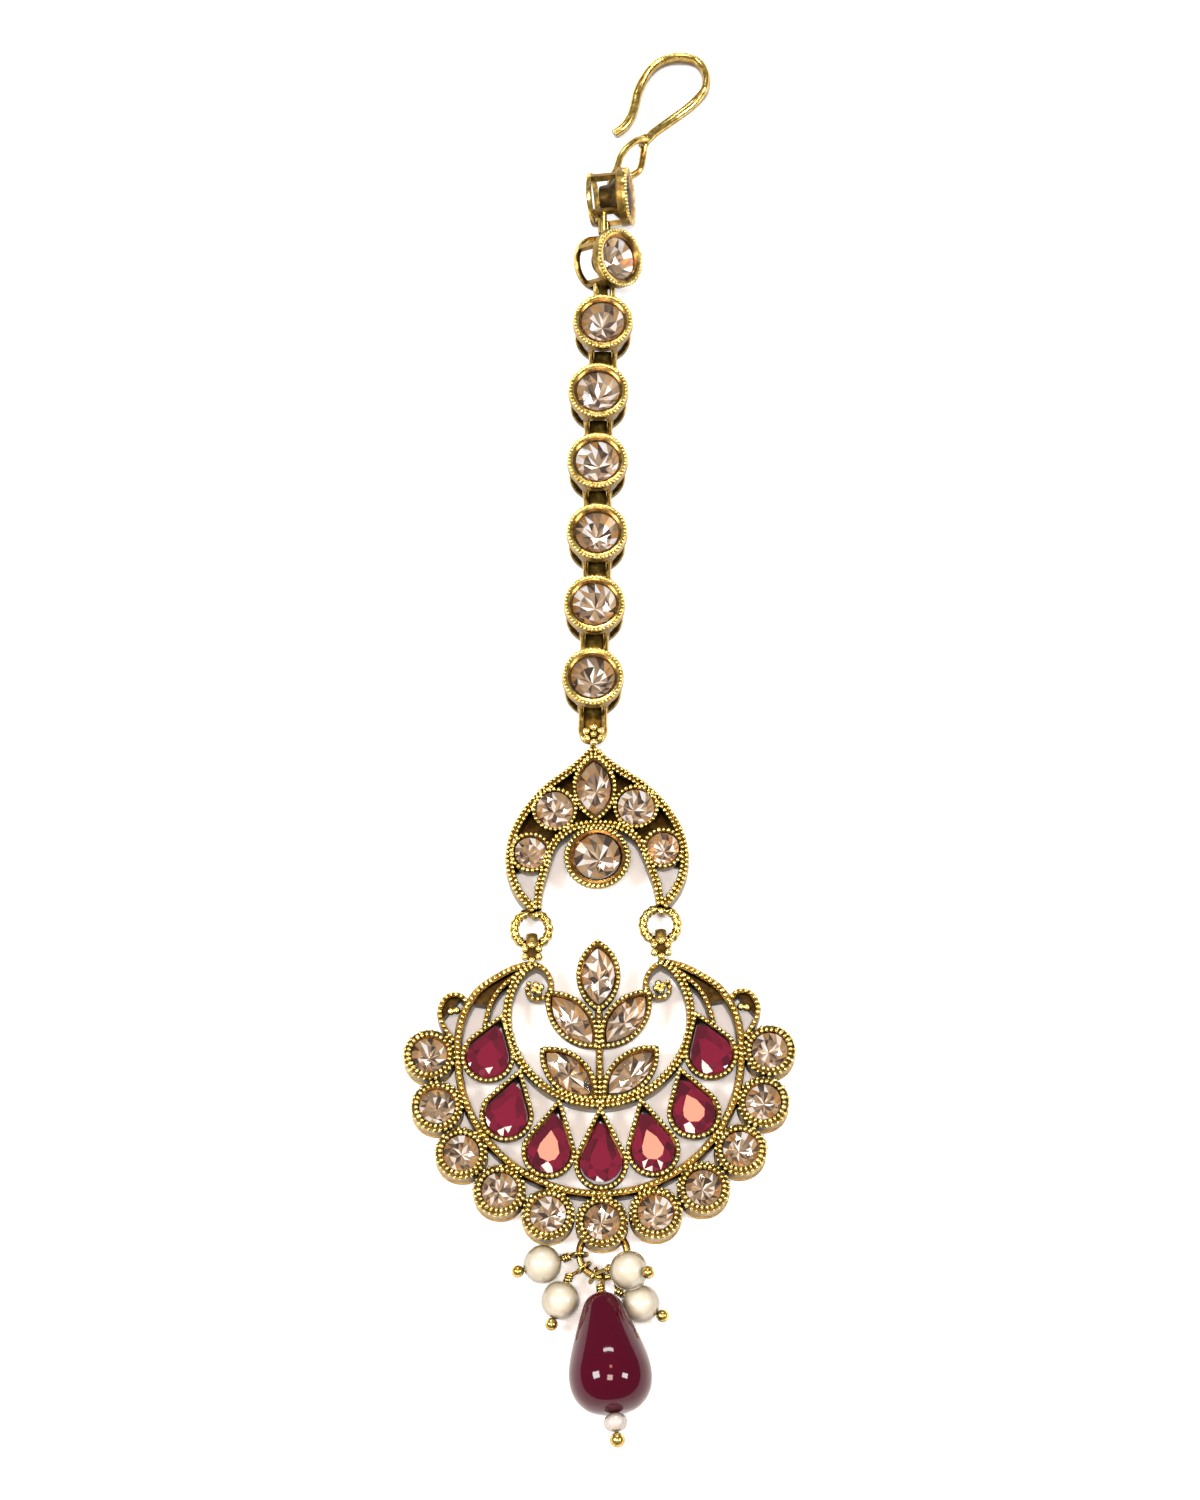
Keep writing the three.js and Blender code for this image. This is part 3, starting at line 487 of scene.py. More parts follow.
def makePiece(node, shape, materials, slotName, sharpAbove=40, beads=None):
    body = meshOf(node + "_look", shape, materials, sharpAbove)
    if beads:
        joinTo(body, beads)
    finishPiece(body, slotName, node)


# Cut stones: table, stars, kites and girdle facets over a foiled back. The shares are of the outline, or of
# the crown's height (starRise) and the back's depth (beltDrop, pavilionDrop). edge is the girdle's thickness
cut = {"table": 0.52, "star": 0.77, "starRise": 0.62, "edge": 0.12, "belt": 0.66, "beltDrop": 0.45,
       "pavilion": 0.34, "pavilionDrop": 0.8}
# Values of painted light for the back facets; amberShare of the outer facets fall below amberBelow, the amber
# of a painted reflection of the setting
backShades = {"choices": [0.15, 0.25, 0.35, 0.45, 0.5, 0.6, 0.65, 0.75, 0.92, 1.0], "amberShare": 0.3,
              "amberBelow": 0.09}
corners, kites = 16, 8


# outline(grow) gives the girdle, and sixteen of its points, evenly along it, carry the facets
def addStone(shape, outline, place, girdle, crown, back, seed, backSlot, deep):
    line = outline(0)
    picked = [Vector(line[round(i * len(line) / corners) % len(line)]) for i in range(corners)]
    middle = sum(picked, Vector((0, 0))) / corners
    random = np.random.default_rng(seed)

    def at(p, share, z):
        q = middle + (p - middle) * share
        return place @ Vector((q.x, q.y, z))
    odd = picked[1::2]
    points = [at(p, 1, girdle) for p in picked]
    points += [at(p, 1, girdle - cut["edge"]) for p in picked]
    points += [at(p, cut["table"], girdle + crown) for p in picked[::2]]
    points += [at(p, cut["star"], girdle + crown * cut["starRise"]) for p in odd]
    points += [at(p, cut["belt"], girdle - back * cut["beltDrop"]) for p in picked]
    points += [at(p, cut["pavilion"], girdle - back * cut["pavilionDrop"]) for p in odd]
    points += [at(middle, 1, girdle - back)]
    table = 2 * corners
    star = table + kites
    belt = star + kites
    deepest = belt + corners
    tip = deepest + kites
    faces = [tuple(table + j for j in range(kites))]
    for j in range(kites):
        a, b, c = 2 * j, 2 * j + 1, (2 * j + 2) % corners
        faces += [(table + j, star + j, table + (j + 1) % kites),
                  (table + j, star + (j - 1) % kites, a, star + j), (star + j, a, b), (star + j, b, c)]
    crownCount = len(faces)
    for i in range(corners):
        k = (i + 1) % corners
        faces += [(i, corners + i, corners + k, k), (corners + i, belt + i, corners + k),
                  (corners + k, belt + i, belt + k)]
    outerCount = len(faces)
    for j in range(kites):
        a, b, c = belt + 2 * j, belt + 2 * j + 1, belt + (2 * j + 2) % corners
        faces += [(deepest + j, b, a), (deepest + j, c, b), (tip, deepest + j, a),
                  (tip, a, deepest + (j - 1) % kites)]
    # Painted light on the back facets: random values give dark reflections and white flashes, and some outer
    # facets the amber of a painted reflection of the setting. A stone that is not deep gets a brighter table
    # and random facet values, also painted light
    shades = [1.0] * len(faces)
    for i in range(crownCount, len(faces)):
        shades[i] = float(random.choice(backShades["choices"]))
        if i < outerCount and random.random() < backShades["amberShare"]:
            shades[i] = float(random.uniform(0.0, backShades["amberBelow"]))
    if not deep:
        shades = [0.75 if i == 0 else float(random.uniform(0.1, 0.8)) for i in range(len(faces))]
    first = len(shape["faces"])
    addFaces(shape, points, faces, 0, shades)
    for i in range(first + crownCount, len(shape["faces"])):
        shape["slots"][i] = backSlot


# Stones from (node, outline, place, girdle height) rows. Each sits a few degrees out of level, so that its
# facets catch the light in their own way, and a round one is also turned about its axis
def makeStones(rows, materials, slotName, crown, back, seed, deep=True, leaning=5.0):
    random = np.random.default_rng(seed)
    for index, (node, outline, place, girdle) in enumerate(rows):
        shape = newShape()
        lean = Matrix.Rotation(math.radians(leaning), 4, Vector((*onCircle(1, random.uniform(0, 360)), 0)))
        radii = [math.hypot(x, y) for x, y in outline(0)]
        spin = turned(random.uniform(0, 45)) if max(radii) - min(radii) < 0.001 else Matrix()
        place = place @ Matrix.Translation((0, 0, girdle)) @ lean @ Matrix.Translation((0, 0, -girdle)) @ spin
        addStone(shape, outline, place, girdle, crown, back, index + 3, len(materials) - 1, deep)
        makePiece(node, shape, materials, slotName, 0)


# Settings: a wall lofted round the stone. The profile's rows are (grow from the stone, height, material slot
# of the wall up to the next row)
def addSetting(shape, outline, place, profile):
    rings = [atHeight(outline(grow), z) for grow, z, _ in profile]
    count = len(rings[0])
    faces = [(j, (j + 1) % count, count + (j + 1) % count, count + j) for j in range(count)]
    for i, (_, _, slot) in enumerate(profile):
        points = [place @ Vector(p) for p in rings[i] + rings[(i + 1) % len(rings)]]
        addFaces(shape, points, faces, slot)


# A setting with a lip over its stone. Its wall has a slit above a base rim, or narrows towards its foot
def setStone(shape, outline, place, wall, top, slit=True):
    rows = [(-0.05, top - 1.2, patinaAndShadeSlot), (-0.01, top - 0.42, lipSlot), (0.14, top - 0.2, patinaAndShadeSlot),
            (0.14 + wall * 0.3, top - 0.16, patinaAndShadeSlot), (wall * 0.9, top - 0.22, castSlot),
            (wall, top - 0.45, wallSlot)]
    if slit:
        rows += [(wall, 0.9, patinaAndShadeSlot), (wall - 0.26, 0.84, patinaAndShadeSlot), (wall - 0.26, 0.5, wallSlot),
                 (wall + 0.05, 0.42, wallSlot), (wall + 0.05, 0.06, wallSlot), (wall - 0.06, 0.0, wallSlot)]
    else:
        foot = max(wall - 0.6, 0.06)
        rows += [(wall - 0.08, 1.7, wallSlot), (foot, 0.06, patinaAndShadeSlot), (foot - 0.04, 0.0, patinaAndShadeSlot)]
    addSetting(shape, outline, place, rows)


# Bands: a flat strip with rounded edges along a line, in shares of its width and height
stripSection = [(-0.5, 0.06), (-0.5, 0.86), (-0.38, 1.0), (0.38, 1.0), (0.5, 0.86), (0.5, 0.06), (0.42, 0.0),
                (-0.42, 0.0)]


def addBand(shape, line, width, bottom, top, place):
    rings = [offsetLine(line, side * width, bottom + level * (top - bottom)) for side, level in stripSection]
    addLoft(shape, rings, place, castSlot, wrapRing=False)


# Wires
# A round wire along 3-D points. squash maps a point's number to (sideways, upright) factors
def addWire(shape, line, radius, place=None, slot=0, sides=12, closed=False, squash=None):
    points = [Vector(p) for p in line]
    rings = []
    for i, p in enumerate(points):
        before = points[i - 1] if closed or i > 0 else p
        after = points[(i + 1) % len(points)] if closed or i + 1 < len(points) else p
        along = (after - before).normalized()
        side = along.cross(upAxis)
        side = side.normalized() if side.length > 0.05 else Vector((1, 0, 0))
        upright = side.cross(along).normalized()
        wide, high = squash(i) if squash else (1, 1)
        circle = circleOutline(radius, sides)(0)
        rings.append([tuple(p + side * (x * wide) + upright * (y * high)) for x, y in circle])
    addLoft(shape, rings, place, slot, wrapLoft=closed)


def addBall(shape, middle, radius, place=None, slot=0, rows=10, sides=16):
    rings = []
    for i in range(1, rows):
        angle = math.pi * i / rows
        rings.append([(middle[0] + x, middle[1] + y, middle[2] - radius * math.cos(angle))
                      for x, y in circleOutline(radius * math.sin(angle), sides)(0)])
    addLoft(shape, rings, place, slot, wrapLoft=False)


# A turned solid about Z from (radius, height) rows
def addTurned(shape, profile, place, slot=0, sides=40):
    addLoft(shape, [atHeight(circleOutline(r, sides)(0), z) for r, z in profile], place, slot, wrapLoft=False)


# A frame at start whose Z runs along direction
def alongPlace(start, direction):
    return Matrix.Translation(start) @ direction.to_track_quat("Z", "Y").to_matrix().to_4x4()


def addCoil(shape, place, radius, wire, turns, pitch, steps=14):
    line = [(*onCircle(radius, fullTurn * k / steps), pitch * k / steps)
            for k in range(int(steps * turns) + 1)]
    addWire(shape, [place @ Vector(p) for p in line], wire, sides=8)


# A ring of round wire, or of twisted wire where strands is not 0
def addRing(shape, radius, wire, place, slot=0, steps=40, sides=12, flat=1.0, strands=0):
    def pointAt(a, b):
        groove = 0.2 * abs(math.sin(strands * a / 2 - b)) if strands else 0
        across, up = onCircle(wire * (1 - groove), b)
        return (*onCircle(radius + across, a), up * flat)
    rings = [[pointAt(fullTurn * i / steps, fullTurn * k / sides) for k in range(sides)]
             for i in range(steps)]
    addLoft(shape, rings, place, slot)


# A rosette of six balls on a dark plate, with or without one in the middle
rosette = {"plate": 0.738, "reach": 0.82, "ball": 0.4, "middleBall": 0.36}


def granules(shape, x, y, z, place, middle=True):
    plate = [(rosette["plate"], -0.5), (rosette["plate"], -0.12), (0.1, -0.1)]
    addTurned(shape, plate, place @ placeAt(x, y, z), patinaAndShadeSlot, 20)
    if middle:
        addBall(shape, (x, y, z + 0.05), rosette["middleBall"], place, beadSlot)
    for k in range(6):
        at = onCircle(rosette["reach"], math.radians(60 * k + 30), x, y)
        addBall(shape, (*at, z - 0.1), rosette["ball"], place, beadSlot)

# Chain links. meanAbove is the height of the mean of a stone's corners, which gives the link's place
link = {"stone": 2.4, "girdle": 3.95, "crown": 0.85, "back": 1.7, "postRadius": 2.75, "postWidth": 0.55,
        "posts": (0, 62, 153, 207, 298), "loopLevel": 1.71, "barReach": 6.365, "railX": 1.2, "railWire": 0.3,
        "beadRadius": 3.02, "beadLevel": 4.34, "meanAbove": 4.304}
linkBezel = [(2.42, 3.3, patinaAndShadeSlot), (2.28, 4.13, lipSlot), (2.42, 4.25, lipSlot), (2.62, 4.36, wireSlot),
             (2.86, 4.42, wireSlot), (3.08, 4.38, wireSlot), (3.2, 4.22, wireSlot), (3.22, 4.0, wallSlot),
             (3.25, 3.45, wallSlot), (3.18, 3.3, wallSlot)]
linkCup = [(0.3, 1.0), (1.4, 1.15), (1.55, 2.2), (2.42, 3.1), (2.42, 3.4), (2.2, 3.3), (1.2, 2.1),
           (0.3, 2.05)]
linkBase = [(2.45, 0.03), (2.45, 0.5), (2.55, 0.56), (2.95, 0.56), (3.04, 0.46), (3.04, 0.1), (2.96, 0.0),
            (2.52, 0.0)]
# The two top links are rolled over: turn about Y, then tilt about X, in degrees
linkLies = {1: (80, -5), 2: (42, 13.5)}


def linkPlace(number):
    turn, tilt = linkLies.get(number, (0, 0))
    basis = Matrix.Rotation(math.radians(tilt), 3, "X") @ Matrix.Rotation(math.radians(turn), 3, "Y")
    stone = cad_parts[f"chain_stone_{number}"].data
    points = {tuple(round(c / mm, 3) for c in v.co) for v in stone.vertices}
    mean = sum((Vector(p) for p in points), Vector()) / len(points)
    return Matrix.Translation(mean - basis @ Vector((0, 0, link["meanAbove"]))) @ basis.to_4x4()


def makeLink(number):
    place = linkPlace(number)
    shape = newShape()
    outline = circleOutline(0)
    addSetting(shape, outline, place, linkBezel)
    # The dark cup that closes the back of the stone, inside the posts
    addTurned(shape, linkCup, place, patinaAndShadeSlot, 28)
    addLoft(shape, [atHeight(outline(r), z) for r, z in linkBase], place, wireSlot)
    half = link["postWidth"] / 2
    near, far = link["postRadius"] - half, link["postRadius"] + half
    post = [(-half, near), (half, near), (half, far), (-half, far)]
    for degrees in link["posts"]:
        ends = [atHeight(post, z) for z in (0.4, 3.5)]
        addLoft(shape, ends, place @ turned(degrees), wallSlot, wrapLoft=False)
    side, reach = link["railX"], link["barReach"]
    rail = [(side, -2.3), (side, -4.0), (side, -5.4), (side - 0.4, -reach + 0.15)]
    loop = [(-x, y) for x, y in rail] + [(0, -reach)] + rail[::-1]
    addWire(shape, smoothLine(atHeight(loop, link["loopLevel"])), link["railWire"], place, wireSlot)
    tongue = [Vector((0, -2.2, 0)), Vector((0, -3.6, 0)), Vector((0, -4.9, 0))]
    addBand(shape, tongue, 1.9, 1.0, 1.3, place)
    row = ringRow(circleOutline(link["beadRadius"], 40), link["beadLevel"], place)
    beads = beadRows(f"linkBeads{number}", [row], spacing=0.42, across=0.44, along=0.36, upright=0.36,
                     seed=number)
    makePiece(f"chain_link_{number}", shape, goldLooks, "gold", beads=[beads])


for number in range(1, 9):
    makeLink(number)
makeStones([(f"chain_stone_{n}", circleOutline(link["stone"]), linkPlace(n), link["girdle"])
            for n in range(1, 9)], champagne, "champagne_crystal", link["crown"], link["back"], 5)
print("chain made")

# Hair hook, from its wrapped neck round the hammered bend to its point, and the eye below the neck
hook = {"wire": 0.55, "eyeWire": 0.4, "high": 1.12, "perSpan": 5, "hammered": (7, 14), "fade": 8}
# (x, y, share of the rise from the level of the bend to the post's)
hookLine = [(3.45, 4.7, 0.6), (4.3, 5.2, 0.55), (5.0, 6.15, 0.38), (6.1, 7.3, 0.16), (7.5, 8.6, 0),
            (8.9, 9.75, 0), (10.0, 10.9, 0), (10.7, 11.9, 0), (10.94, 13.2, 0), (10.7, 14.45, 0),
            (9.95, 15.5, 0), (8.7, 16.0, 0), (7.25, 16.0, 0), (5.8, 15.45, 0), (4.65, 14.4, 0),
            (3.8, 13.05, 0), (3.2, 11.5, 0), (2.88, 9.85, 0), (2.4, 8.45, -0.05), (1.65, 7.35, -0.1),
            (0.64, 6.6, -0.15)]
eyeLine = [(4.05, 4.95, -0.6), (3.1, 4.3, 0.5), (2.34, 3.45, 1.0), (1.7, 2.6, 1.15), (1.24, 1.75, 1.15),
           (0.95, 0.66, 1.1), (0.55, -0.3, 0.95), (0.22, -0.95, 0.35), (0.2, -1.0, -0.4), (0.28, -0.5, -1.1),
           (0.9, 0.55, -1.4), (2.4, 0.95, -1.5), (3.45, 1.7, -1.4), (3.8, 3.2, -1.3), (3.95, 4.3, -1.0)]


def makeHook():
    post = linkPlace(1) @ Vector((0, link["postRadius"], 2.0))
    place = Matrix.Translation((post.x, post.y, 0))
    rise = post.z - hook["high"]
    knots = [(x, y, hook["high"] + share * rise) for x, y, share in hookLine]
    first, last = [n * hook["perSpan"] for n in hook["hammered"]]
    fade = hook["fade"]

    def flattened(i):
        inside = min(max((i - first + fade) / fade, 0), max((last + fade - i) / fade, 0), 1)
        return 1 - 0.14 * inside, 1 + 0.9 * inside
    shape = newShape()
    addWire(shape, smoothLine(knots, hook["perSpan"]), hook["wire"], place, sides=14, squash=flattened)
    eye = smoothLine([(x, y, z + post.z) for x, y, z in eyeLine], hook["perSpan"], closed=True)
    addWire(shape, eye, hook["eyeWire"], place, closed=True)
    start = Vector(knots[0])
    along = (Vector(knots[1]) - start).normalized()
    addCoil(shape, place @ alongPlace(start - along * 0.2, along), 0.6, 0.16, 3.2, 0.34)
    makePiece("hair_hook", shape, [wireGold], "wire_gold", 50)


makeHook()
print("hook made")

# Crescent, with the middle of its big stone as origin
crescentOuter = [(0, 11.75), (1.2, 10.75), (2.23, 9.85), (3.5, 8.95), (4.73, 8.06), (5.75, 7.1), (6.63, 6.1),
                 (7.5, 4.9), (8.22, 3.63), (8.75, 2.2), (9.0, 0.68), (9.02, -0.55), (8.79, -1.79),
                 (8.45, -2.8), (7.98, -3.69), (7.35, -4.5), (6.7, -5.26)]
crescentArch = [(0, 3.73), (1.1, 3.66), (2.23, 3.44), (3.3, 2.85), (4.2, 2.06), (4.8, 0.95), (5.22, -0.22),
                (5.6, -1.4), (5.98, -2.64), (6.2, -3.85), (6.32, -5.07)]
crescentStones = {"small": (6.85, 0.81, 1.65, 0.5), "mid": (4.22, 5.41, 1.9, 0.45)}  # x, y, radius, wall
crescentBig = {"radius": 2.4, "top": 3.3, "ropeRadius": 3.14, "girdle": 3.2}
crescentLeaf = {"y": 7.65, "length": 5.75, "width": 3.4, "wall": 0.6}
crescentBack = {"outerTrim": 8, "archTrim": 10, "steps": 40, "lowest": -1.4, "bottom": 0.4, "top": 0.9}
crescentBail = {"y": 13.1, "z": 1.71, "radius": 1.075, "wire": 0.3, "rosetteY": 13.35}
legRings = {"x": 6.62, "shift": -0.38, "y": -7.11, "radius": 1.775, "wire": 0.532, "z": 1.4}
frameTop = 3.0
bandBottom = 0.4
bandTop = 2.6
ropeOffset = 0.23
beadDrop = 0.18              # from the top of a setting down to the middles of its beads
stoneGirdle = 2.62


def mirrored(points):
    return [(-x, y) for x, y in points]


def bothHalves(points):
    return mirrored(points[:0:-1]) + list(points)


# A setting with a row of beads on its wall
def setBeaded(shape, rows, outline, place, wall, share):
    setStone(shape, outline, place, wall, frameTop, slit=False)
    rows.append(ringRow(outline, frameTop - beadDrop, place, wall * share))


def makeCrescent():
    place = crescentPlace
    shape = newShape()
    outer = smoothLine(bothHalves(crescentOuter), 4)
    arch = smoothLine(bothHalves(crescentArch), 4)
    addBand(shape, outer, 0.9, bandBottom, bandTop, place)
    addBand(shape, arch, 0.8, bandBottom, bandTop, place)
    rows = [lineRow(line, bandTop + 0.05, place, side)
            for line in (outer, arch) for side in (-ropeOffset, ropeOffset)]
    for x, y, radius, wall in crescentStones.values():
        for side in (-1, 1):
            cup = place @ placeAt(side * x, y)
            setStone(shape, circleOutline(radius), cup, wall, frameTop, slit=False)
            rows.append(ringRow(circleOutline(radius + wall * 0.68, 36), frameTop - beadDrop, cup))
    leafOutline = marquiseOutline(crescentLeaf["length"], crescentLeaf["width"])
    leafPlace = place @ placeAt(0, crescentLeaf["y"])
    setBeaded(shape, rows, leafOutline, leafPlace, crescentLeaf["wall"], 0.68)
    top = crescentBig["top"]
    bigCup = [(-0.05, top - 1.2, patinaAndShadeSlot), (-0.01, top - 0.42, lipSlot), (0.2, top - 0.2, lipSlot),
              (0.5, top - 0.14, patinaAndShadeSlot), (0.86, top - 0.24, castSlot), (0.95, top - 0.6, castSlot),
              (0.9, top - 1.0, patinaAndShadeSlot), (0.1, 0.0, patinaAndShadeSlot)]
    addSetting(shape, circleOutline(crescentBig["radius"]), place, bigCup)
    # A dark sheet behind the openwork between the settings: painted shade, standing in for the shadow seen
    # through the openings
    trims = crescentBack["outerTrim"], crescentBack["archTrim"]
    back = [p[:2] for p in offsetLine(outer, 0.2, 0)][trims[0]:-trims[0]]
    archBack = [p[:2] for p in offsetLine(arch, -0.2, 0)][trims[1]:-trims[1]]
    shares = [i / crescentBack["steps"] for i in range(crescentBack["steps"] + 1)]
    picks = [(back[round(s * (len(back) - 1))], archBack[round(s * (len(archBack) - 1))]) for s in shares]
    inside = [(a, b) for a, b in picks if min(a[1], b[1]) > crescentBack["lowest"]]
    low, high = crescentBack["bottom"], crescentBack["top"]
    section = [[(*a, z) for a, _ in inside] for z in (low, high)]
    section += [[(*b, z) for _, b in inside] for z in (high, low)]
    addLoft(shape, section, place, patinaAndShadeSlot, wrapRing=False)
    # Leg tips and rings
    for side in (-1, 1):
        at = place @ placeAt(side * legRings["x"] + legRings["shift"], legRings["y"], legRings["z"])
        addRing(shape, legRings["radius"], legRings["wire"], at, wireSlot, steps=176, sides=20, strands=16)
        tip = [(0.4, 0.4), (0.55, 0.8), (0.55, 1.7), (0.4, 2.0), (0.1, 2.1)]
        addTurned(shape, tip, place @ placeAt(side * 6.45, -5.5), wireSlot)
    # Bail and its rosette
    bail = place @ placeAt(0, crescentBail["y"], crescentBail["z"]) @ Matrix.Rotation(math.pi / 2, 4, "Y")
    addRing(shape, crescentBail["radius"], crescentBail["wire"], bail, wireSlot)
    neck = [Vector((0, 11.4, 0)), Vector((0, 12.2, 0))]
    addBand(shape, neck, 0.55, 0.5, 2.5, place)
    granules(shape, 0.1, crescentBail["rosetteY"], 3.25, place)
    beads = beadRows("crescentBeads", rows, spacing=0.5, across=0.48, along=0.42, upright=0.44, slant=14,
                     unevenness=0.18, seed=21)
    bigRow = ringRow(circleOutline(crescentBig["ropeRadius"]), top - 0.42, place)
    rope = beadRows("crescentRope", [bigRow], spacing=0.5, across=0.8, along=0.44, upright=0.6, slant=28,
                    seed=22)
    makePiece("crescent_frame", shape, goldLooks, "gold", beads=[beads, rope])


makeCrescent()
crescentRows = [("big", circleOutline(crescentBig["radius"]), crescentPlace, crescentBig["girdle"])]
for name, side, key in (("left", -1, "small"), ("right", 1, "small"), ("upper_left", -1, "mid"),
                        ("upper_right", 1, "mid")):
    x, y, radius, _ = crescentStones[key]
    place = crescentPlace @ placeAt(side * x, y, 0, 11 * side)
    crescentRows.append((name, circleOutline(radius), place, stoneGirdle))
crescentRows.append(("leaf", marquiseOutline(crescentLeaf["length"], crescentLeaf["width"]),
                     crescentPlace @ placeAt(0, crescentLeaf["y"]), stoneGirdle))
makeStones([("crescent_stone_" + name, *row) for name, *row in crescentRows], champagne, "champagne_crystal",
           0.6, 1.5, 8, leaning=7.5)
print("crescent made")

# Pendant, with the middle of its rim circle as origin
rim = {"radius": 17.25, "cups": 11, "step": 18.15, "stone": 1.8, "wall": 0.8, "girdle": 2.66}
bands = {"outer": 14.35, "inner": 9.3, "rise": 4.2, "width": 0.85}
shoulder = [(6.52, 9.77), (8.39, 9.35), (9.9, 8.62), (11.4, 7.68), (12.4, 6.84), (13.1, 5.8), (13.75, 4.55),
            (14.15, 3.19), (14.36, 1.62)]
strand = [(6.52, 9.77), (7.53, 9.1), (8.54, 8.45), (9.54, 7.6), (10.4, 6.64), (11.0, 5.49), (11.35, 4.4),
          (11.6, 3.3)]
curl = [(6.52, 9.77), (5.6, 9.2), (5.0, 8.3), (4.8, 7.25), (5.1, 6.4)]
curlEnd = [(5.0, 7.1), (5.35, 6.4), (6.1, 6.05), (6.95, 6.3), (7.3, 7.05), (7.1, 7.7)]
innerTop = [(6.52, 9.77), (7.55, 9.1), (8.5, 7.8), (9.12, 6.1), (9.33, 4.5), (9.24, 2.8)]
swirl = [(13.3, 5.5), (14.05, 6.43), (15.06, 6.53), (15.77, 6.0), (16.18, 4.96), (16.07, 3.92), (15.57, 2.87),
         (14.86, 1.83)]
# Turns of each pear's round end and tip about their circles, in degrees from straight down
pearTurns = [(-89.8, -87.8), (-56.8, -52.8), (-27.7, -23.8), (0, 0), (27.7, 23.8), (56.8, 52.8), (89.8, 87.8)]
pearTwist = [-8, -2, 0, 0, 0, 2, 8]    # extra turn of each pear about its round end
pearLean = [5, 5, 0, -5, 0, 0, 5]      # each pear's rise about its own X, so that the tables reflect unalike
pear = {"radius": 2.15, "wall": 0.6, "reach": 11.3, "tipRadius": 10.55, "girdle": 2.6}
# Root of each leaf on the stem, and its turn in degrees
leafTurns = {"lower_left": (-4.87, 46.6), "lower_right": (-4.87, -46.6), "upper_left": (0.4, 39.4),
             "upper_right": (0.4, -39.4)}
leaf = {"length": 6.2, "width": 2.9, "wall": 0.6, "setback": 1.2}
topLeaf = {"length": 6.1, "width": 3.34, "y": 8.33}
pendantBail = {"radius": 1.155, "wire": 0.18, "flat": 3.2}
wallShare = 0.65             # how far out on a wall its beads sit


def arcLine(radius, start, end, steps, y=0):
    return [onCircle(radius, math.radians(start + (end - start) * i / steps), 0, y)
            for i in range(steps + 1)]


def rimPlace(index):
    turn = -90 + (index - (rim["cups"] - 1) / 2) * rim["step"]
    return pendantPlace @ placeAt(*onCircle(rim["radius"], math.radians(turn)), 0, turn)


def pearPlace(index):
    roundTurn, tipTurn = [math.radians(a) for a in pearTurns[index]]
    start = Vector((pear["reach"] * math.sin(roundTurn), -pear["reach"] * math.cos(roundTurn), 0))
    end = Vector((pear["tipRadius"] * math.sin(tipTurn),
                  bands["rise"] - pear["tipRadius"] * math.cos(tipTurn), 0))
    along = end - start
    degrees = math.degrees(math.atan2(along.y, along.x)) - 90 + pearTwist[index]
    return pendantPlace @ placeAt(start.x, start.y, 0, degrees), along.length


def leafPlaces():
    reach = leaf["setback"] + leaf["length"] / 2
    places = {}
    for key, (root, degrees) in leafTurns.items():
        a = math.radians(degrees)
        at = placeAt(-reach * math.sin(a), root + reach * math.cos(a), 0, degrees)
        places["leaf_stone_" + key] = pendantPlace @ at
    return places


# The bunch of granules that ends each curl
def knob(shape, x, y, place):
    addTurned(shape, [(0.5, 0.5), (0.55, 1.9), (0.3, 2.15)], place @ placeAt(x, y), castSlot, 20)
    for k in range(4):
        addBall(shape, (*onCircle(0.4, math.radians(90 * k + 20), x, y), 2.3), 0.36, place, beadSlot)


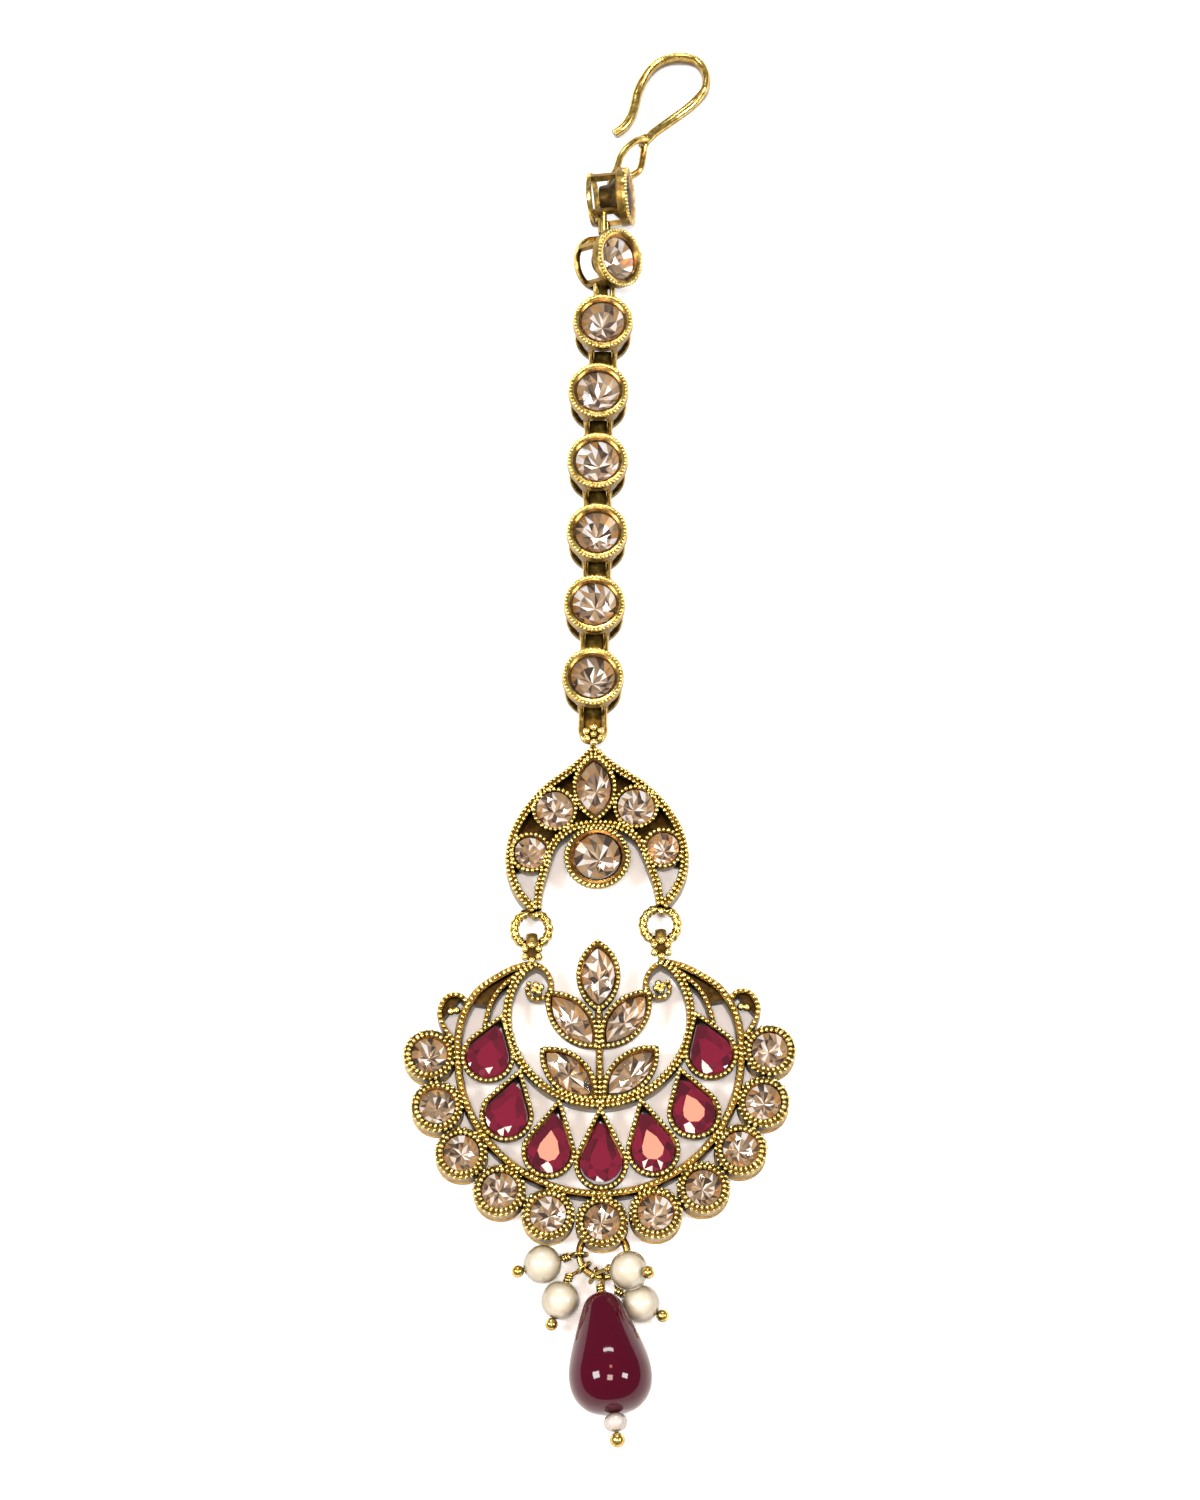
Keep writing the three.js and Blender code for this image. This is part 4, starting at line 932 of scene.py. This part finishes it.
def makePendant():
    place = pendantPlace
    shape = newShape()
    rows, ropes = [], []
    outer = smoothLine(bothHalves((shoulder + arcLine(bands["outer"], 2, -90, 16))[::-1]), 3)
    innerHalf = innerTop + arcLine(bands["inner"], -20, -90, 10, bands["rise"])
    inner = smoothLine(bothHalves(innerHalf[::-1]), 3)
    for line in (outer, inner):
        addBand(shape, line, bands["width"], bandBottom, bandTop, place)
    rows += [lineRow(inner, bandTop + 0.05, place, side) for side in (-ropeOffset, ropeOffset)]
    for points in (strand, curl, swirl):
        for half in (points, mirrored(points)):
            line = smoothLine(half, 4)
            addBand(shape, line, 0.6, bandBottom, bandTop - 0.05, place)
            rows.append(lineRow(line, bandTop + 0.02, place))
    for side in (-1, 1):
        knob(shape, side * 6.25, 7.15, place)
        ending = smoothLine([(side * x, y) for x, y in curlEnd], 4)
        addBand(shape, ending, 0.4, 0.9, 2.2, place)
        rows.append(lineRow(ending, 2.25, place))
        for x, y in ((14.5, 5.0), (15.1, 4.9)):
            addBall(shape, (side * x, y, 2.1), 0.42, place, beadSlot)
        # Dark panels between the shoulder and the strand, and inside the swirl: sheets that are painted
        # shade, standing in for the shadow seen through these openings
        for panel in (shoulder[:6] + strand[5::-1], swirl[1:6]):
            edge = [(side * x, y) for x, y in panel][::side]
            addLoft(shape, [atHeight(edge, z) for z in (0.5, 2.0)], place, patinaAndShadeSlot, wrapLoft=False)
    stem = smoothLine([(0, -5.0), (0, -1), (0, 2), (0, 5.0)], 4)
    addBand(shape, stem, 0.8, bandBottom, bandTop, place)
    rows.append(lineRow(stem, bandTop + 0.1, place))
    for index in range(rim["cups"]):
        cup = rimPlace(index)
        setStone(shape, circleOutline(rim["stone"]), cup, rim["wall"], frameTop)
        rows.append(ringRow(circleOutline(rim["stone"] + 0.3, 32), frameTop - 0.1, cup))
        ropes.append(ringRow(circleOutline(rim["stone"] + 0.68, 36), frameTop - 0.42, cup))
    for index in range(len(pearTurns)):
        at, tip = pearPlace(index)
        setBeaded(shape, rows, pearOutline(pear["radius"], tip), at, pear["wall"], wallShare)
    for at in leafPlaces().values():
        setBeaded(shape, rows, marquiseOutline(leaf["length"], leaf["width"]), at, leaf["wall"], wallShare)
    top = marquiseOutline(topLeaf["length"], topLeaf["width"])
    setBeaded(shape, rows, top, place @ placeAt(0, topLeaf["y"]), leaf["wall"], wallShare)
    # Bails: a ring round each leg ring, with a rosette on it
    for side in (-1, 1):
        legBottom = (side * legRings["x"] + legRings["shift"], legRings["y"] - legRings["radius"],
                     legRings["z"])
        low = place.inverted() @ crescentPlace @ Vector(legBottom)
        ringPlace = place @ placeAt(low.x, low.y, legRings["z"]) @ Matrix.Rotation(math.pi / 2, 4, "Y")
        addRing(shape, pendantBail["radius"], pendantBail["wire"], ringPlace, wallSlot,
                flat=pendantBail["flat"])
        neck = [Vector((side * shoulder[0][0], shoulder[0][1] - 0.4, 0)), Vector((low.x, low.y - 0.8, 0))]
        addBand(shape, neck, 0.7, 0.5, 2.5, place)
        granules(shape, low.x, low.y - 1.2, 3.0, place, middle=False)
    beads = beadRows("pendantBeads", rows, spacing=0.52, across=0.5, along=0.42, upright=0.44, slant=16,
                     unevenness=0.18, seed=31)
    rope = beadRows("pendantRope", ropes, spacing=0.58, across=0.56, along=0.4, upright=0.5, slant=30,
                    unevenness=0.18, seed=32)
    cord = beadRows("pendantCord", [lineRow(outer, bandTop + 0.02, place)], spacing=0.54, across=0.62,
                    along=0.42, upright=0.46, slant=30, unevenness=0.18, seed=33)
    makePiece("pendant_frame", shape, goldLooks, "gold", beads=[beads, rope, cord])


makePendant()
makeStones([(f"rim_stone_{i + 1}", circleOutline(rim["stone"]), rimPlace(i), rim["girdle"])
            for i in range(rim["cups"])], champagne, "champagne_crystal", 0.5, 1.35, 3)
leafRows = [(node, marquiseOutline(leaf["length"], leaf["width"]), at, stoneGirdle)
            for node, at in leafPlaces().items()]
leafRows.append(("leaf_stone_top", marquiseOutline(topLeaf["length"], topLeaf["width"]),
                 pendantPlace @ placeAt(0, topLeaf["y"]), stoneGirdle))
makeStones(leafRows, champagne, "champagne_crystal", 0.55, 1.4, 6)
pearRows = []
for index, lean in enumerate(pearLean):
    at, tip = pearPlace(index)
    seat = at @ Matrix.Rotation(math.radians(lean), 4, "X")
    pearRows.append((f"pear_stone_{index + 1}", pearOutline(pear["radius"], tip), seat, pear["girdle"]))
makeStones(pearRows, [rubyLook], "ruby_glass", 0.23, 1.3, 5, deep=False, leaning=0)
print("pendant made")

# Cluster: jump ring, four pearls on head pins, the drop with its seed pearl
ringMiddle = centreOf("drop_jump_ring")
cluster = {"ringRadius": 2.4, "ringWire": 0.375, "pearl": 1.95, "pin": 0.2, "ball": 0.64, "wrap": 0.33,
           "eyeRadius": 0.775}
# For each pearl: turn of its eye on the ring, turn and rise of its pin, and how far it is drawn down
clusterPearls = {"left": (183, 196, 0, -0.2), "lower_left": (216, 250, 0, -0.2),
                 "right": (246, 344, 40, -0.4), "lower_right": (293, 331, 0, -0.5)}
drop = {"turn": 276.1, "rise": 6, "top": (-0.2, -4.55, 2.1), "length": 12.1, "eye": 270, "seed": 1.2,
        "seedLength": 1.85, "ball": 0.75, "gap": 0.05}
# (radius, share of the length) from the pin's end to the round end
dropProfile = [(0.24, 0.0), (0.75, 0.0), (1.3, 0.02), (1.8, 0.07), (2.35, 0.18), (2.9, 0.3), (3.45, 0.43),
               (3.9, 0.56), (4.1, 0.67), (3.98, 0.78), (3.5, 0.875), (2.6, 0.95), (1.45, 0.99), (0.5, 1.0),
               (0.24, 1.0)]


def headingOf(turn, rise):
    flat = onCircle(math.cos(math.radians(rise)), math.radians(turn))
    return Vector((*flat, math.sin(math.radians(rise))))


def eyeMiddle(degrees):
    return ringMiddle + headingOf(degrees, 0) * cluster["ringRadius"]


def addEye(shape, degrees):
    place = Matrix.Translation(eyeMiddle(degrees)) @ turned(degrees) @ Matrix.Rotation(math.pi / 2, 4, "X")
    addRing(shape, cluster["eyeRadius"], cluster["pin"], place, steps=24, sides=10)


def eyeEdge(degrees, rise):
    return eyeMiddle(degrees) + headingOf(degrees, rise) * cluster["eyeRadius"]


def makeCluster():
    ring = newShape()
    place = Matrix.Translation(ringMiddle)
    addRing(ring, cluster["ringRadius"], cluster["ringWire"], place, steps=56, sides=14)
    makePiece("drop_jump_ring", ring, [wireGold], "wire_gold")
    r = cluster["pearl"]
    ball = [(r * math.sin(math.pi * k / 24), -r * math.cos(math.pi * k / 24)) for k in range(2, 23)]
    for name, (eye, turn, rise, lower) in clusterPearls.items():
        middle = centreOf(f"pearl_{name}") + Vector((0, lower, 0))
        along = headingOf(turn, rise)
        pearl = newShape()
        addTurned(pearl, [(0.25, -r * 0.975), *ball, (0.25, r * 0.975)], alongPlace(middle, along))
        makePiece(f"pearl_{name}", pearl, [pearlLook], "imitation_pearl", 60)
        pin = newShape()
        addEye(pin, eye)
        near = middle - along * (r + 0.1)
        far = middle + along * (r + cluster["ball"] * 0.9)
        edge = eyeEdge(eye, 90 if rise else 0)
        addWire(pin, smoothLine([edge, edge.lerp(near - along * 0.6, 0.5), near - along * 0.5, near], 5),
                cluster["pin"], sides=10)
        addWire(pin, [near, middle, far], cluster["pin"], sides=10)
        addCoil(pin, alongPlace(near - along * 0.75, along), cluster["wrap"], 0.14, 2.6, 0.29)
        addBall(pin, far, cluster["ball"], rows=12, sides=20)
        makePiece(f"pearl_pin_{name}", pin, [wireGold], "wire_gold", 60)


def makeDrop():
    along = headingOf(drop["turn"], drop["rise"])
    top = ringMiddle + Vector(drop["top"])
    at = alongPlace(top, along)
    body = newShape()
    smoothProfile = smoothLine([(r, z * drop["length"]) for r, z in dropProfile], 4)
    addTurned(body, [(p.x, p.y) for p in smoothProfile], at, sides=72)
    makePiece("drop_bead", body, [garnetLook], "drop_glass", 60)
    seed = newShape()
    half = drop["seedLength"] / 2
    middle = drop["length"] + drop["gap"] + half
    angles = [math.pi * k / 20 for k in range(1, 20)]
    seedProfile = [(max(0.25, drop["seed"] * math.sin(a) ** 0.8), middle - half * math.cos(a))
                   for a in angles]
    addTurned(seed, seedProfile, at, sides=32)
    makePiece("seed_pearl", seed, [seedLook], "imitation_pearl", 60)
    pin = newShape()
    addEye(pin, drop["eye"])
    edge = eyeEdge(drop["eye"], 90)
    cap = top - along * 0.3
    bend = edge.lerp(cap, 0.5) + Vector((0, 0, 0.15))
    addWire(pin, smoothLine([edge, bend, cap], 6), cluster["pin"], sides=10)
    addCoil(pin, alongPlace(top - along * 0.95, along), cluster["wrap"], 0.15, 2.4, 0.3)
    addTurned(pin, [(0.2, -0.3), (0.62, -0.16), (0.86, 0.04), (0.8, 0.1), (0.2, 0.02)], at)
    end = drop["length"] + drop["seedLength"] + 2 * drop["gap"] + drop["ball"]
    addWire(pin, [top + along * t for t in (-0.3, drop["length"] / 2, end)], cluster["pin"], sides=10)
    addBall(pin, (0, 0, end), drop["ball"], at, rows=12, sides=20)
    makePiece("drop_pin", pin, [wireGold], "wire_gold", 60)


makeCluster()
makeDrop()
print("cluster made")


# Floor and light, in metres. The floor's slight glow keeps the openings of the jewel pale
def makeFloor():
    mesh = bpy.data.meshes.new("paleFloor")
    half = 2.0
    square = [(-half, -half, 0), (half, -half, 0), (half, half, 0), (-half, half, 0)]
    mesh.from_pydata(square, [], [(0, 1, 2, 3)])
    material, tree, surface = newMaterial("pale_paper_floor", {
        "Base Color": hexColour("#f7f6f4"), "Roughness": 0.85, "Emission Color": hexColour("#ffffff"),
        "Emission Strength": 0.24})
    mesh.materials.append(material)
    floor = bpy.data.objects.new("paleFloor", mesh)
    floor.location.z = -0.1 * mm
    bpy.context.scene.collection.objects.link(floor)


def areaLight(name, place, size, watts, colour="#ffffff", aim=(0, 0, 0)):
    data = bpy.data.lights.new(name, "AREA")
    data.shape = "RECTANGLE"
    data.size, data.size_y = size
    data.energy = watts
    data.color = hexColour(colour)[:3]
    light = bpy.data.objects.new(name, data)
    light.location = place
    light.rotation_euler = (Vector(aim) - Vector(place)).to_track_quat("-Z", "Y").to_euler()
    bpy.context.scene.collection.objects.link(light)


def makeLight():
    world = bpy.data.worlds.new("softStudio")
    bpy.context.scene.world = world
    world.use_nodes = True
    background = world.node_tree.nodes["Background"]
    background.inputs["Color"].default_value = hexColour("#f4f2ee")
    background.inputs["Strength"].default_value = 0.36
    areaLight("softBoxLeft", (-0.55, -0.1, 0.66), (0.24, 0.28), 6.2)
    areaLight("softBoxRight", (0.55, -0.12, 0.65), (0.18, 0.24), 4.0)
    areaLight("softBoxBack", (-0.05, 0.62, 0.62), (0.4, 0.06), 2.0)
    areaLight("windowPane", (-0.02, -0.22, 0.78), (0.2, 0.2), 3.0, "#ffe9da")
    areaLight("warmWindow", (0.015, 0.14, 0.72), (0.09, 0.07), 0.36, "#ffb48c", (0, -0.045, 0))
    bpy.context.scene.view_settings.view_transform = "Standard"


makeFloor()
makeLight()
print("floor and light set")
